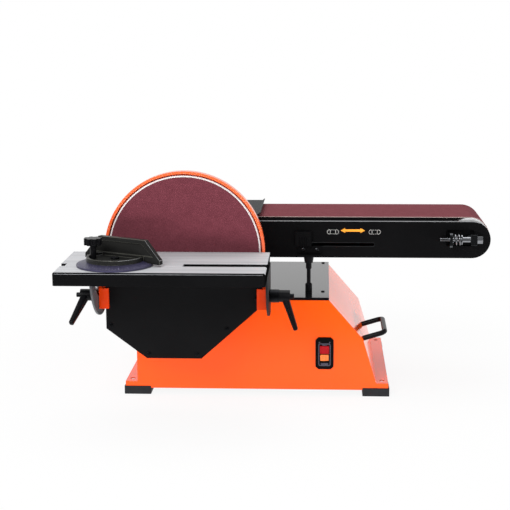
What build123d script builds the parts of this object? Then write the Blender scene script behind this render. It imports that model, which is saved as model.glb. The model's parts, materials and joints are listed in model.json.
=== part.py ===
from build123d import *

import os
from math import cos, pi, radians, sin, sqrt

os.makedirs("parts", exist_ok=True)

# Belt and disc sander. X runs along the belt arm, Y runs to the back, Z is up.
# The origin is on the bench, under the middle of the base. All sizes are in millimetres.

# Base: a folded sheet box with a flange to bolt it to a bench
base_length = 472.0
base_depth = 326.0
base_height = 180.0
bench_flange = 21.5
skirt_height = 12.5
panel_sheet = 2.0
panel_edge_round = 0.8
top_plate_thickness = 5.0
floor_sheet = 3.0
shoulder_inset = 106.5
knee_inset = 46.0
knee_z = 105.0
seam_flange = 16.0
bench_hole_r = 4.5
top_screw_inset = 11.0
top_screw_front_inset = 49.0
top_screw_back_inset = 12.0
top_screw_head_r = 3.2
top_screw_head_height = 1.6
top_screw_shank_r = 2.0

# Rubber corner feet
foot_height = 11.0
foot_lip = 4.0
foot_wall = 2.0
foot_length = 48.0
foot_width = 42.0
foot_round = 1.5

# Carry handle on the steep part of the right side
handle_tube_r = 4.6
handle_reach = 40.0
handle_span = 104.0
handle_front_inset = 26.0
handle_drop = 5.0
handle_bend_r = 10.0

# Safety switch on the front panel
switch_inset = 7.5
switch_z = 79.0
switch_frame_width = 32.0
switch_frame_height = 58.0
switch_frame_proud = 4.0
switch_corner = 5.0
switch_body_depth = 24.0
switch_body_side_lap = 3.0
switch_body_end_lap = 6.0
switch_pocket_depth = 14.0
rocker_width = 17.0
rocker_height = 15.0
rocker_depth = 9.0
rocker_lean = 7.0
key_width = 15.0
key_height = 11.0
key_depth = 12.0
switch_gap = 0.6

# Spindle, disc and drums
spindle_inset = 120.0
spindle_z = 278.0
spindle_r = 10.0
disc_overhang = 86.5
disc_radius = 127.0
paper_thickness = 1.5
plate_margin = 2.5
plate_thickness = 10.0
disc_back_gap = 3.5
disc_hub_r = 24.0
disc_hub_length = 6.0
spindle_grip = 7.0
running_fit = 0.05
turning_gap = 0.3

# Disc housing: a cast pan with a round rim above and a dust hood below
guard_gap = 2.5
guard_wall = 4.5
guard_setback = 1.0
housing_back_wall = 4.0
housing_edge_round = 3.0
hood_left_reach = 136.0
hood_right_reach = 131.0
hood_left_knee = 134.0
hood_right_knee = 93.0
hood_drop = 186.0
hood_floor_left = 67.0
hood_floor_right = 27.0
hood_front_gap = 5.0
cover_sheet = 2.5
cover_top_drop = 32.0
cover_margin = 1.5
cover_screw_inset = 7.0
cover_screw_r = 3.6
cover_screw_height = 2.0
hub_hole_gap = 3.0
dust_port_r = 25.0
dust_port_wall = 2.5
dust_port_length = 42.0
dust_port_offset = 99.0
dust_port_drop = 68.0

# Spindle housing and rear bearing bracket
housing_tube_r = 33.0
housing_flange_r = 58.0
housing_flange_thickness = 8.0
housing_bolt_circle_r = 48.0
housing_bolt_r = 3.0
housing_bolt_head_r = 5.5
housing_bolt_head_height = 4.0
bearing_outer_r = 23.5
bearing_width = 14.0
bearing_land = 4.0
housing_bore_r = 15.0
pedestal_setback = 6.0
pedestal_depth = 40.0
pedestal_half_width = 40.0
pedestal_foot_half_width = 64.0
pedestal_foot_height = 10.0
pedestal_bolt_inset = 12.0
pivot_spigot_r = 28.0
shoulder_gap = 0.5
rear_boss_length = 22.0
rear_plate_thickness = 12.0
rear_plate_half_width = 48.0

# Motor and belt drive inside the base
motor_r = 62.0
motor_length = 140.0
motor_front_inset = 102.0
motor_lift = 6.0
motor_end_wall = 12.0
motor_foot_half_width = 52.0
motor_foot_length = 84.0
rotor_r = 34.0
rotor_air_gap = 1.0
rotor_end_gap = 8.0
motor_shaft_r = 7.5
pulley_gap = 6.0
pulley_width = 20.0
spindle_pulley_r = 34.0
motor_pulley_r = 42.0
groove_depth = 9.0
groove_half_width = 5.6
groove_flare = 2.0
drive_belt_width = 10.0
drive_belt_thickness = 7.0
belt_slot_margin = 8.0
belt_cover_sheet = 2.0
belt_cover_gap = 4.0
capacitor_r = 18.0
capacitor_length = 76.0
capacitor_offset = 110.0
gland_x = 150.0
gland_z = 46.0
gland_r = 9.0
gland_length = 14.0
gland_bore_r = 4.0
gland_flange_r = 13.0
gland_flange_thickness = 3.0

# Belt arm
belt_loop = 1219.2
belt_width = 152.4
belt_thickness = 1.2
belt_outer_r = 36.3
belt_setback = 153.0
arm_side_gap = 1.2
arm_plate_thickness = 4.0
arm_plate_end_r = 32.0
arm_plate_pivot_r = 33.5
arm_plate_stop = 40.0
fork_gap = 0.5
platen_thickness = 4.0
platen_gap = 0.5
platen_start = 16.0
platen_stop = 22.0
crossbar_width = 14.0
crossbar_half_height = 22.0
first_crossbar_offset = 150.0
guide_crossbar_offset = 366.0
side_cover_sheet = 2.0
side_cover_gap = 4.0
side_cover_below_belt = 0.4
side_cover_top_drop = 6.4
side_cover_start = 44.0
side_cover_end_gap = 1.0
side_cover_edge_round = 1.2
side_boss_r = 6.0
side_boss_offsets = (80.0, 180.0, 335.0)
drum_cover_sheet = 1.5
drum_cover_gap = 5.2
drum_cover_reach = 119.0
drum_cover_wrap = 60.0
drum_cover_overhang = 9.0
drum_cover_lip = 3.5
drum_cover_tab_from = 52.0
drum_cover_tab_length = 40.0

# Idler carriage, tension lever and tracking screw
carriage_gap = 4.0
carriage_stop = 75.0
carriage_arm_r = 18.0
carriage_block_width = 12.0
carriage_block_half_height = 15.0
idler_axle_r = 6.0
idler_axle_overhang = 2.0
tension_rod_r = 4.0
lever_pin_offset = 265.0
lever_pin_setback = 47.0
lever_pin_r = 4.0
lever_level = -12.5
lever_bar_thickness = 4.0
lever_bar_width = 10.0
lever_hub_height = 11.0
lever_cam_r = 12.0
lever_travel = 70.0
carriage_travel = 2.5
lever_lean = 46.0
lever_reach = 92.0
lever_slot_height = 5.6
lever_slot_from = 193.0
lever_slot_to = 326.0
lever_grip_length = 30.0
lever_grip_height = 26.0
lever_grip_thickness = 9.0
lever_grip_rise = 9.0
grip_rib_count = 4
grip_rib_pitch = 4.0
grip_rib_width = 1.6
grip_rib_depth = 1.2
shelf_thickness = 5.0
shelf_gap = 0.5
shelf_length = 72.0
tracking_standoff = 16.0
tracking_lug_offset = 32.5
tracking_lug_thickness = 5.0
tracking_lug_half_height = 12.5
tracking_lug_lead = 12.0
tracking_lug_corner = 4.0
tracking_block_offset = 5.25
tracking_block_width = 11.5
tracking_block_depth = 14.0
tracking_block_height = 19.0
tracking_thread_r = 3.0
tracking_thread_tail = 16.0
tracking_shank_r = 5.0
tracking_collar_r = 9.5
tracking_collar_thickness = 2.0
tracking_head_flats = 13.0
tracking_head_length = 9.5
tracking_spring_r = 10.5
tracking_spring_wire = 2.6
tracking_spring_length = 15.0
tracking_window_gap = 2.0
tracking_window_corner = 4.0

# Strut that holds the arm level on the top plate
strut_offset = 209.0
strut_rod_r = 3.6
strut_collar_r = 9.2
strut_collar_low_r = 7.4
strut_collar_height = 12.0
strut_neck_r = 5.2
strut_neck_height = 10.0
strut_foot_r = 6.2
strut_foot_height = 17.5
strut_foot_slope = 2.0
strut_bracket_sheet = 3.0
strut_bracket_length = 42.0
strut_bracket_height = 17.0
strut_bracket_reach = 21.0
strut_bracket_rise = 5.0
strut_bracket_lead = 19.0
strut_screw_r = 3.4
strut_screw_height = 2.0
strut_screw_spacing = 24.0
strut_screw_rise = 10.0

# Work table
table_gap = 3.0
table_depth = 180.0
table_left_reach = 188.5
table_plate = 9.0
table_rim_depth = 21.3
table_rim = 5.0
table_corner_r = 4.0
table_rear_land = 1.5
table_edge_round = 3.0
mitre_slot_setback = 118.0
mitre_slot_width = 19.4
mitre_slot_depth = 9.5
mitre_rib_margin = 7.0
mitre_rib_depth = 5.0

# Table tilt: trunnions, support brackets, lock studs and clamp levers
bracket_plate = 5.0
bracket_back = 18.0
bracket_front = 40.0
bracket_drop = 91.0
bracket_top_drop = 28.0
bracket_tilt_relief = 16.0
bracket_flange = 16.5
bracket_flange_sheet = 6.0
trunnion_gap = 1.0
trunnion_plate = 3.5
trunnion_r = 108.0
trunnion_back = 18.0
tilt_travel = 45.0
tilt_slot_r = 74.7
lock_stud_r = 4.0
lock_stud_angle = 20.0
guide_pin_angle = -5.0
tilt_slot_spare = 2.0
tilt_slot_clearance = 0.4
washer_r = 11.0
left_washer = 10.5
right_washer = 15.5
washer_gap = 0.3
lever_hub_r = 10.0
lever_hub_length = 18.0
stud_tip = 7.0
clamp_arm_length = 62.0
clamp_arm_lean = 18.0
clamp_arm_root = (17.0, 12.0)
clamp_arm_tip = (9.0, 8.0)
clamp_arm_corner = 3.0
left_clamp_angle = -46.0
right_clamp_angle = 0.0

# Mitre gauge
mitre_pivot_offset = 99.0
mitre_bar_width = 19.0
mitre_bar_length = 190.0
mitre_bar_tail = 80.0
mitre_bar_proud = 0.2
mitre_angle = 63.0
mitre_pin_r = 4.0
mitre_post_r = 3.5
mitre_post_radius = 35.0
mitre_post_clearance = 0.5
mitre_plate_r = 62.0
mitre_plate_thickness = 3.0
mitre_scale_land = 1.0
mitre_scale_rise = 4.5
mitre_head_r = 46.0
mitre_head_floor = 7.0
mitre_head_rim = 4.0
mitre_head_rim_height = 12.0
mitre_fence_offset = 18.0
mitre_fence_thickness = 9.0
mitre_fence_height = 38.0
mitre_fence_top_half = 46.0
mitre_fence_foot_half = 74.0
mitre_fence_recess = 3.0
mitre_fence_border = 7.0
mitre_knob_r = 14.5
mitre_knob_height = 11.0
mitre_knob_stem_r = 5.0
mitre_knob_stem_height = 22.5
mitre_knob_flutes = 8
mitre_knob_flute_r = 3.0
mitre_pin_cap_r = 7.0
mitre_pin_cap_height = 3.0

# Places worked out from the sizes above
half_length = base_length / 2
half_depth = base_depth / 2
spindle_x = -half_length + spindle_inset
shoulder_x = half_length - shoulder_inset
knee_x = half_length - knee_inset
switch_x = shoulder_x - switch_inset
body_half = half_length - bench_flange
skirt_top = foot_height + skirt_height
panel_top = base_height - top_plate_thickness
floor_top = foot_height + floor_sheet
inner_depth = half_depth - panel_sheet
flange_mid = body_half + bench_flange / 2
foot_x = half_length + foot_wall - foot_length / 2
foot_y = half_depth + foot_wall - foot_width / 2
bench_holes = [(side * flange_mid, end * foot_y) for side in (-1, 1) for end in (-1, 1)]
disc_face = -half_depth - disc_overhang
plate_r = disc_radius + plate_margin
plate_back = disc_face + paper_thickness + plate_thickness
guard_inner_r = plate_r + guard_gap
guard_outer_r = guard_inner_r + guard_wall
guard_front = disc_face + guard_setback
housing_floor = plate_back + disc_back_gap
housing_back = housing_floor + housing_back_wall
hood_front = disc_face - hood_front_gap
cover_front = hood_front - cover_sheet

belt_inner_r = belt_outer_r - belt_thickness
drum_r = belt_inner_r - turning_gap
idler_x = spindle_x + (belt_loop - 2 * pi * belt_outer_r) / 2
belt_near = disc_face + belt_setback
belt_far = belt_near + belt_width
near_plate_back = belt_near - arm_side_gap
near_plate_front = near_plate_back - arm_plate_thickness
far_plate_front = belt_far + arm_side_gap
far_plate_back = far_plate_front + arm_plate_thickness
near_cover_face = near_plate_front - side_cover_gap - side_cover_sheet
far_cover_face = far_plate_back + side_cover_gap + side_cover_sheet
arm_plate_end = idler_x - arm_plate_stop

pedestal_front = -half_depth + pedestal_setback
pedestal_back = pedestal_front + pedestal_depth
tube_end = near_plate_front - shoulder_gap
rear_shoulder = far_plate_back + shoulder_gap
rear_plate_front = rear_shoulder + rear_boss_length
rear_plate_back = rear_plate_front + rear_plate_thickness
pulley_front = rear_plate_back + pulley_gap
pulley_back = pulley_front + pulley_width
pulley_mid = (pulley_front + pulley_back) / 2
motor_z = floor_top + motor_lift + motor_r
motor_front = -half_depth + motor_front_inset
motor_back = motor_front + motor_length
belt_cover_back = pulley_back + belt_cover_gap + belt_cover_sheet

table_top_z = spindle_z
table_back = disc_face - table_gap
table_front = table_back - table_depth
table_left = spindle_x - table_left_reach
bracket_inner = hood_left_reach
bracket_outer = bracket_inner + bracket_plate
trunnion_inner = bracket_outer + trunnion_gap
trunnion_outer = trunnion_inner + trunnion_plate
table_right = spindle_x + trunnion_outer
rim_bottom = table_top_z - table_rim_depth
stud_y = disc_face - tilt_slot_r * sin(radians(lock_stud_angle))
stud_z = spindle_z - tilt_slot_r * cos(radians(lock_stud_angle))
pin_y = disc_face - tilt_slot_r * sin(radians(guide_pin_angle))
pin_z = spindle_z - tilt_slot_r * cos(radians(guide_pin_angle))

mitre_slot_y = disc_face - mitre_slot_setback
mitre_x = spindle_x - mitre_pivot_offset
mitre_bar_top = table_top_z + mitre_bar_proud
mitre_plate_top = mitre_bar_top + mitre_plate_thickness
mitre_floor_top = mitre_plate_top + mitre_head_floor
mitre_post_x = mitre_x - mitre_post_radius


def front_plane(y):
    """Upright plane at depth y: local x is X, local y is Z, and extrusions run to the front."""
    return Plane.XZ.offset(-y)


def side_plane(x):
    """Upright plane at x: local x is Y, local y is Z, and extrusions run to the right."""
    return Plane.YZ.offset(x)


def arc_slot(centre, radius, start, sweep, width):
    """A round-ended slot along an arc that starts at an angle and turns through sweep degrees."""

    def on_arc(distance, angle):
        return (centre[0] + distance * cos(radians(angle)), centre[1] + distance * sin(radians(angle)))

    with BuildSketch(mode=Mode.PRIVATE) as slot:
        with Locations(centre):
            Circle(radius + width / 2)
            Circle(radius - width / 2, mode=Mode.SUBTRACT)
        with BuildLine():
            Polyline(
                centre,
                on_arc(3 * radius, start),
                on_arc(3 * radius, start + sweep / 2),
                on_arc(3 * radius, start + sweep),
                close=True,
            )
        make_face(mode=Mode.INTERSECT)
        with Locations(on_arc(radius, start), on_arc(radius, start + sweep)):
            Circle(width / 2)
    return slot.sketch


# Base panels: the front and rear panels share one outline
panel_outline = [
    (-half_length, foot_height),
    (half_length, foot_height),
    (half_length, skirt_top),
    (body_half, skirt_top),
    (knee_x, knee_z),
    (shoulder_x, panel_top),
    (-body_half, panel_top),
    (-body_half, skirt_top),
    (-half_length, skirt_top),
]
switch_body_width = switch_frame_width - 2 * switch_body_side_lap
switch_body_height = switch_frame_height - 2 * switch_body_end_lap

with BuildPart() as base_front_panel:
    with BuildSketch(front_plane(-inner_depth)):
        with BuildLine():
            Polyline(*panel_outline, close=True)
        make_face()
        with Locations((switch_x, switch_z)):
            Rectangle(switch_body_width, switch_body_height, mode=Mode.SUBTRACT)
    extrude(amount=panel_sheet)
    front_face = base_front_panel.faces().sort_by(Axis.Y)[0]
    fillet(front_face.outer_wire().edges(), radius=panel_edge_round)
base_front_panel.part.label = "base_front_panel"
export_step(base_front_panel.part, "parts/base_front_panel.step")

with BuildPart() as base_rear_panel:
    with BuildSketch(front_plane(half_depth)):
        with BuildLine():
            Polyline(*panel_outline, close=True)
        make_face()
        with Locations((gland_x, gland_z)):
            Circle(gland_r, mode=Mode.SUBTRACT)
    extrude(amount=panel_sheet)
base_rear_panel.part.label = "base_rear_panel"
export_step(base_rear_panel.part, "parts/base_rear_panel.step")

# Side sheets: each is one folded strip, from the seam under the top plate down to the skirt
left_path = [
    (-half_length, foot_height),
    (-half_length, skirt_top),
    (-body_half, skirt_top),
    (-body_half, panel_top),
    (-body_half + seam_flange, panel_top),
]
right_path = [
    (shoulder_x - seam_flange, panel_top),
    (shoulder_x, panel_top),
    (knee_x, knee_z),
    (body_half, skirt_top),
    (half_length, skirt_top),
    (half_length, foot_height),
]

with BuildPart() as base_left_side:
    with BuildSketch(front_plane(inner_depth)):
        with BuildLine():
            Polyline(*left_path)
            offset(amount=panel_sheet, side=Side.RIGHT, kind=Kind.INTERSECTION)
        make_face()
    extrude(amount=2 * inner_depth)
    with Locations(*[(x, y, skirt_top) for x, y in bench_holes if x < 0]):
        Hole(bench_hole_r)
    with Locations((-body_half + top_screw_inset, -half_depth + top_screw_front_inset, panel_top)):
        Hole(top_screw_shank_r, depth=panel_sheet)
    with Locations((-body_half + top_screw_inset, half_depth - top_screw_back_inset, panel_top)):
        Hole(top_screw_shank_r, depth=panel_sheet)
base_left_side.part.label = "base_left_side"
export_step(base_left_side.part, "parts/base_left_side.step")

with BuildPart() as base_right_side:
    with BuildSketch(front_plane(inner_depth)):
        with BuildLine():
            Polyline(*right_path)
            offset(amount=panel_sheet, side=Side.RIGHT, kind=Kind.INTERSECTION)
        make_face()
    extrude(amount=2 * inner_depth)
    with Locations(*[(x, y, skirt_top) for x, y in bench_holes if x > 0]):
        Hole(bench_hole_r)
    with Locations((shoulder_x - top_screw_inset, -half_depth + top_screw_front_inset, panel_top)):
        Hole(top_screw_shank_r, depth=panel_sheet)
    with Locations((shoulder_x - top_screw_inset, half_depth - top_screw_back_inset, panel_top)):
        Hole(top_screw_shank_r, depth=panel_sheet)
base_right_side.part.label = "base_right_side"
export_step(base_right_side.part, "parts/base_right_side.step")

# Top plate with a slot for the drive belt
top_screws_at = [
    (x, y)
    for x in (-body_half + top_screw_inset, shoulder_x - top_screw_inset)
    for y in (-half_depth + top_screw_front_inset, half_depth - top_screw_back_inset)
]
belt_slot_half = motor_pulley_r + belt_slot_margin

with BuildPart() as base_top_plate:
    with BuildSketch(Plane.XY.offset(panel_top)):
        with Locations(((shoulder_x - body_half) / 2, 0)):
            Rectangle(shoulder_x + body_half, base_depth)
        with Locations((spindle_x, pulley_mid)):
            Rectangle(2 * belt_slot_half, pulley_width + belt_slot_margin, mode=Mode.SUBTRACT)
        with Locations(*top_screws_at):
            Circle(top_screw_shank_r, mode=Mode.SUBTRACT)
    extrude(amount=top_plate_thickness)
base_top_plate.part.label = "base_top_plate"
export_step(base_top_plate.part, "parts/base_top_plate.step")

with BuildPart() as top_plate_screws:
    with BuildSketch(Plane.XY.offset(base_height)):
        with Locations(*top_screws_at):
            Circle(top_screw_head_r)
    extrude(amount=top_screw_head_height)
    fillet(top_plate_screws.faces().sort_by(Axis.Z)[-4:].edges(), radius=top_screw_head_height / 2)
    with BuildSketch(Plane.XY.offset(base_height)):
        with Locations(*top_screws_at):
            Circle(top_screw_shank_r)
    extrude(amount=-(top_plate_thickness + panel_sheet))
top_plate_screws.part.label = "top_plate_screws"
export_step(top_plate_screws.part, "parts/top_plate_screws.step")

with BuildPart() as motor_floor:
    with Locations((0, 0, foot_height)):
        Box(2 * body_half, 2 * inner_depth, floor_sheet, align=(Align.CENTER, Align.CENTER, Align.MIN))
motor_floor.part.label = "motor_floor"
export_step(motor_floor.part, "parts/motor_floor.step")

# Rubber feet: each block carries a corner of the skirt, laps up round it and lets a bench bolt through
lip_top = foot_height + foot_lip

with BuildPart() as rubber_feet:
    for side in (-1, 1):
        for end in (-1, 1):
            with BuildSketch(Plane.XY):
                with Locations((side * foot_x, end * foot_y)):
                    RectangleRounded(foot_length, foot_width, foot_round)
            extrude(amount=lip_top)
            pocket_x = side * (half_length - foot_length)
            pocket_y = end * (half_depth - foot_width)
            with Locations((pocket_x, pocket_y, foot_height)):
                Box(2 * foot_length, 2 * foot_width, foot_lip,
                    align=(Align.CENTER, Align.CENTER, Align.MIN), mode=Mode.SUBTRACT)
    with Locations(*[(x, y, foot_height) for x, y in bench_holes]):
        Hole(bench_hole_r, depth=foot_height)
rubber_feet.part.label = "rubber_feet"
export_step(rubber_feet.part, "parts/rubber_feet.step")

# Carry handle: a bent tube that stands square on the steep side
steep_run = Vector(body_half - knee_x, 0, skirt_top - knee_z).normalized()
steep_out = Vector(-steep_run.Z, 0, steep_run.X)
handle_root = Vector(knee_x, -half_depth + handle_front_inset, knee_z) + steep_run * handle_drop
handle_far_root = handle_root + Vector(0, handle_span, 0)

with BuildPart() as carry_handle:
    with BuildLine() as handle_path:
        FilletPolyline(
            handle_root,
            handle_root + steep_out * handle_reach,
            handle_far_root + steep_out * handle_reach,
            handle_far_root,
            radius=handle_bend_r,
        )
    with BuildSketch(Plane(origin=handle_root, x_dir=(0, 1, 0), z_dir=steep_out)):
        Circle(handle_tube_r)
    sweep(path=handle_path.line)
carry_handle.part.label = "carry_handle"
export_step(carry_handle.part, "parts/carry_handle.step")

# Safety switch: frame with a pocket, a rocker in its upper half and a pull-out key in its lower half
switch_face = -half_depth - switch_frame_proud
pocket_height = rocker_height + key_height + 6 * switch_gap
pocket_width = rocker_width + 2 * switch_gap
rocker_z = switch_z + pocket_height / 2 - rocker_height / 2 - 2 * switch_gap
key_z = switch_z - pocket_height / 2 + key_height / 2 + switch_gap
rocker_y = switch_face + switch_pocket_depth / 2

with BuildPart() as switch_frame:
    with BuildSketch(front_plane(-half_depth)):
        with Locations((switch_x, switch_z)):
            Rectangle(switch_frame_width, switch_frame_height)
    extrude(amount=switch_frame_proud)
    chamfer(switch_frame.edges().filter_by(Axis.Y), length=switch_corner)
    fillet(switch_frame.faces().sort_by(Axis.Y)[0].edges(), radius=switch_gap)
    with BuildSketch(front_plane(-half_depth)):
        with Locations((switch_x, switch_z)):
            Rectangle(switch_body_width, switch_body_height)
    extrude(amount=-switch_body_depth)
    with BuildSketch(front_plane(switch_face + switch_pocket_depth)):
        with Locations((switch_x, switch_z)):
            Rectangle(pocket_width, pocket_height)
    extrude(amount=switch_pocket_depth, mode=Mode.SUBTRACT)
switch_frame.part.label = "switch_frame"
export_step(switch_frame.part, "parts/switch_frame.step")

rocker_hinge = Plane(origin=(switch_x, rocker_y, rocker_z), x_dir=(1, 0, 0), z_dir=(0, -1, 0))
with BuildPart() as switch_rocker:
    with BuildSketch(rocker_hinge.rotated((rocker_lean, 0, 0)).offset(-rocker_depth / 2)):
        Rectangle(rocker_width, rocker_height)
    extrude(amount=rocker_depth)
    fillet(switch_rocker.edges().filter_by(Axis.X), radius=switch_gap)
switch_rocker.part.label = "switch_rocker"
export_step(switch_rocker.part, "parts/switch_rocker.step")

with BuildPart() as safety_key:
    with BuildSketch(front_plane(switch_face + switch_pocket_depth)):
        with Locations((switch_x, key_z)):
            Rectangle(key_width, key_height)
    extrude(amount=key_depth)
    fillet(safety_key.faces().sort_by(Axis.Y)[0].edges(), radius=switch_gap)
safety_key.part.label = "safety_key"
export_step(safety_key.part, "parts/safety_key.step")

# Cord gland in the rear panel
with BuildPart() as cord_gland:
    with BuildSketch(front_plane(inner_depth)):
        with Locations((gland_x, gland_z)):
            Circle(gland_flange_r)
    extrude(amount=gland_flange_thickness)
    with BuildSketch(front_plane(inner_depth)):
        with Locations((gland_x, gland_z)):
            Circle(gland_r)
    extrude(amount=-(panel_sheet + gland_length), taper=6)
    with BuildSketch(front_plane(inner_depth - gland_flange_thickness)):
        with Locations((gland_x, gland_z)):
            Circle(gland_bore_r)
    extrude(amount=-(gland_flange_thickness + panel_sheet + gland_length), mode=Mode.SUBTRACT)
cord_gland.part.label = "cord_gland"
export_step(cord_gland.part, "parts/cord_gland.step")

# Disc housing: round pan, dust hood below it and a pad for the right bracket
hood_outline = [
    (spindle_x + hood_right_reach, spindle_z),
    (spindle_x + hood_right_reach, spindle_z - hood_right_knee),
    (spindle_x + hood_floor_right, spindle_z - hood_drop),
    (spindle_x - hood_floor_left, spindle_z - hood_drop),
    (spindle_x - hood_left_reach, spindle_z - hood_left_knee),
    (spindle_x - hood_left_reach, spindle_z),
]
housing_bolts_at = [
    (spindle_x + sx * housing_bolt_circle_r / sqrt(2), spindle_z + sz * housing_bolt_circle_r / sqrt(2))
    for sx in (-1, 1)
    for sz in (-1, 1)
]
port_at = (spindle_x + dust_port_offset, spindle_z - dust_port_drop)
deep_top = spindle_z - cover_top_drop
pad_width = bracket_inner - hood_right_reach

with BuildPart() as disc_housing:
    with BuildSketch(front_plane(housing_back)):
        with Locations((spindle_x, spindle_z)):
            Circle(guard_outer_r)
        with BuildLine():
            Polyline(*hood_outline, close=True)
        make_face()
    extrude(amount=housing_back - guard_front)
    back_rim = disc_housing.faces().sort_by(Axis.Y)[-1].outer_wire().edges()
    fillet(back_rim, radius=housing_edge_round)
    with BuildSketch(front_plane(guard_front)):
        with BuildLine():
            Polyline(*hood_outline, close=True)
        make_face()
        with Locations((spindle_x, deep_top + guard_outer_r)):
            Rectangle(4 * guard_outer_r, 2 * guard_outer_r, mode=Mode.SUBTRACT)
    extrude(amount=guard_front - hood_front)
    with BuildSketch(front_plane(housing_floor)):
        with Locations((spindle_x, spindle_z)):
            Circle(guard_inner_r)
    extrude(amount=housing_floor - hood_front, mode=Mode.SUBTRACT)
    with BuildSketch(front_plane(housing_floor)):
        with BuildLine():
            Polyline(*hood_outline, close=True)
        make_face()
        offset(amount=-guard_wall, kind=Kind.INTERSECTION, mode=Mode.REPLACE)
    extrude(amount=housing_floor - hood_front, mode=Mode.SUBTRACT)
    with Locations((spindle_x + hood_right_reach, guard_front, spindle_z - bracket_top_drop)):
        Box(pad_width, housing_floor - guard_front, bracket_drop - bracket_top_drop,
            align=(Align.MIN, Align.MIN, Align.MAX))
    with BuildSketch(front_plane(housing_back)):
        with Locations((spindle_x, spindle_z)):
            Circle(disc_hub_r + hub_hole_gap)
        with Locations(*housing_bolts_at):
            Circle(housing_bolt_r)
        with Locations(port_at):
            Circle(dust_port_r - dust_port_wall)
    extrude(amount=housing_back_wall, mode=Mode.SUBTRACT)
disc_housing.part.label = "disc_housing"
export_step(disc_housing.part, "parts/disc_housing.step")

# Black cover over the lower half of the disc, and its screws
cover_right = spindle_x + hood_right_reach - cover_margin
cover_left = spindle_x - hood_left_reach + cover_margin
cover_bottom = spindle_z - hood_drop + cover_margin
cover_outline = [
    (cover_right, deep_top),
    (cover_right, spindle_z - hood_right_knee),
    (spindle_x + hood_floor_right - cover_margin, cover_bottom),
    (spindle_x - hood_floor_left + cover_margin, cover_bottom),
    (cover_left, spindle_z - hood_left_knee),
    (cover_left, deep_top),
]
cover_screws_at = [
    (cover_left + cover_screw_inset, spindle_z - hood_left_knee + cover_screw_inset),
    (spindle_x - hood_floor_left + cover_screw_inset / 2, cover_bottom + cover_screw_inset),
    (spindle_x + hood_floor_right - cover_screw_inset, cover_bottom + cover_screw_inset),
    (
        spindle_x + (hood_floor_right + hood_right_reach) / 2 - cover_screw_inset,
        spindle_z - (hood_drop + hood_right_knee) / 2 + cover_screw_inset,
    ),
    (cover_right - cover_screw_inset, spindle_z - hood_right_knee + 2 * cover_screw_inset),
]

with BuildPart() as lower_disc_cover:
    with BuildSketch(front_plane(hood_front)):
        with BuildLine():
            Polyline(*cover_outline, close=True)
        make_face()
    extrude(amount=cover_sheet)
    fillet(lower_disc_cover.faces().sort_by(Axis.Y)[0].edges(), radius=panel_edge_round)
lower_disc_cover.part.label = "lower_disc_cover"
export_step(lower_disc_cover.part, "parts/lower_disc_cover.step")

with BuildPart() as cover_screws:
    with BuildSketch(front_plane(cover_front)):
        with Locations(*cover_screws_at):
            Circle(cover_screw_r)
    extrude(amount=cover_screw_height)
    fillet(cover_screws.faces().sort_by(Axis.Y)[:5].edges(), radius=cover_screw_height / 2)
cover_screws.part.label = "cover_screws"
export_step(cover_screws.part, "parts/cover_screws.step")

with BuildPart() as dust_port:
    with BuildSketch(front_plane(housing_back)):
        with Locations(port_at):
            Circle(dust_port_r)
            Circle(dust_port_r - dust_port_wall, mode=Mode.SUBTRACT)
    extrude(amount=-dust_port_length)
dust_port.part.label = "dust_port"
export_step(dust_port.part, "parts/dust_port.step")

# Spindle housing: flange on the disc housing, bearing tube, pedestal on the top plate
front_bearing_back = housing_back + bearing_land + bearing_width
middle_bearing_front = tube_end - bearing_width

with BuildPart() as spindle_housing:
    with BuildSketch(front_plane(housing_back + housing_flange_thickness)):
        with Locations((spindle_x, spindle_z)):
            Circle(housing_flange_r)
    extrude(amount=housing_flange_thickness)
    with BuildSketch(front_plane(tube_end)):
        with Locations((spindle_x, spindle_z)):
            Circle(housing_tube_r)
    extrude(amount=tube_end - housing_back)
    with BuildSketch(front_plane(near_plate_back)):
        with Locations((spindle_x, spindle_z)):
            Circle(pivot_spigot_r)
    extrude(amount=near_plate_back - tube_end)
    pedestal_mid = (pedestal_front + pedestal_back) / 2
    with Locations((spindle_x, pedestal_mid, base_height)):
        Box(2 * pedestal_half_width, pedestal_depth - pedestal_bolt_inset, spindle_z - base_height,
            align=(Align.CENTER, Align.CENTER, Align.MIN))
        Box(2 * pedestal_foot_half_width, pedestal_depth, pedestal_foot_height,
            align=(Align.CENTER, Align.CENTER, Align.MIN))
    with BuildSketch(front_plane(near_plate_back)):
        with Locations((spindle_x, spindle_z)):
            Circle(housing_bore_r)
    extrude(amount=near_plate_back - housing_back, mode=Mode.SUBTRACT)
    with BuildSketch(front_plane(front_bearing_back)):
        with Locations((spindle_x, spindle_z)):
            Circle(bearing_outer_r)
    extrude(amount=front_bearing_back - housing_back, mode=Mode.SUBTRACT)
    with BuildSketch(front_plane(near_plate_back)):
        with Locations((spindle_x, spindle_z)):
            Circle(bearing_outer_r)
    extrude(amount=near_plate_back - middle_bearing_front, mode=Mode.SUBTRACT)
    with BuildSketch(front_plane(housing_back + housing_flange_thickness)):
        with Locations(*housing_bolts_at):
            Circle(housing_bolt_r)
    extrude(amount=housing_flange_thickness, mode=Mode.SUBTRACT)
spindle_housing.part.label = "spindle_housing"
export_step(spindle_housing.part, "parts/spindle_housing.step")

rear_bearing_front = rear_shoulder + bearing_land
with BuildPart() as spindle_bearings:
    for back in (front_bearing_back, tube_end, rear_bearing_front + bearing_width):
        with BuildSketch(front_plane(back)):
            with Locations((spindle_x, spindle_z)):
                Circle(bearing_outer_r)
                Circle(spindle_r + running_fit, mode=Mode.SUBTRACT)
        extrude(amount=bearing_width)
spindle_bearings.part.label = "spindle_bearings"
export_step(spindle_bearings.part, "parts/spindle_bearings.step")

# Rear bearing bracket: second pivot of the arm and outer bearing of the spindle
rear_foot_mid = (rear_shoulder + rear_plate_back) / 2
rear_foot_depth = rear_plate_back - rear_shoulder

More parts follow.
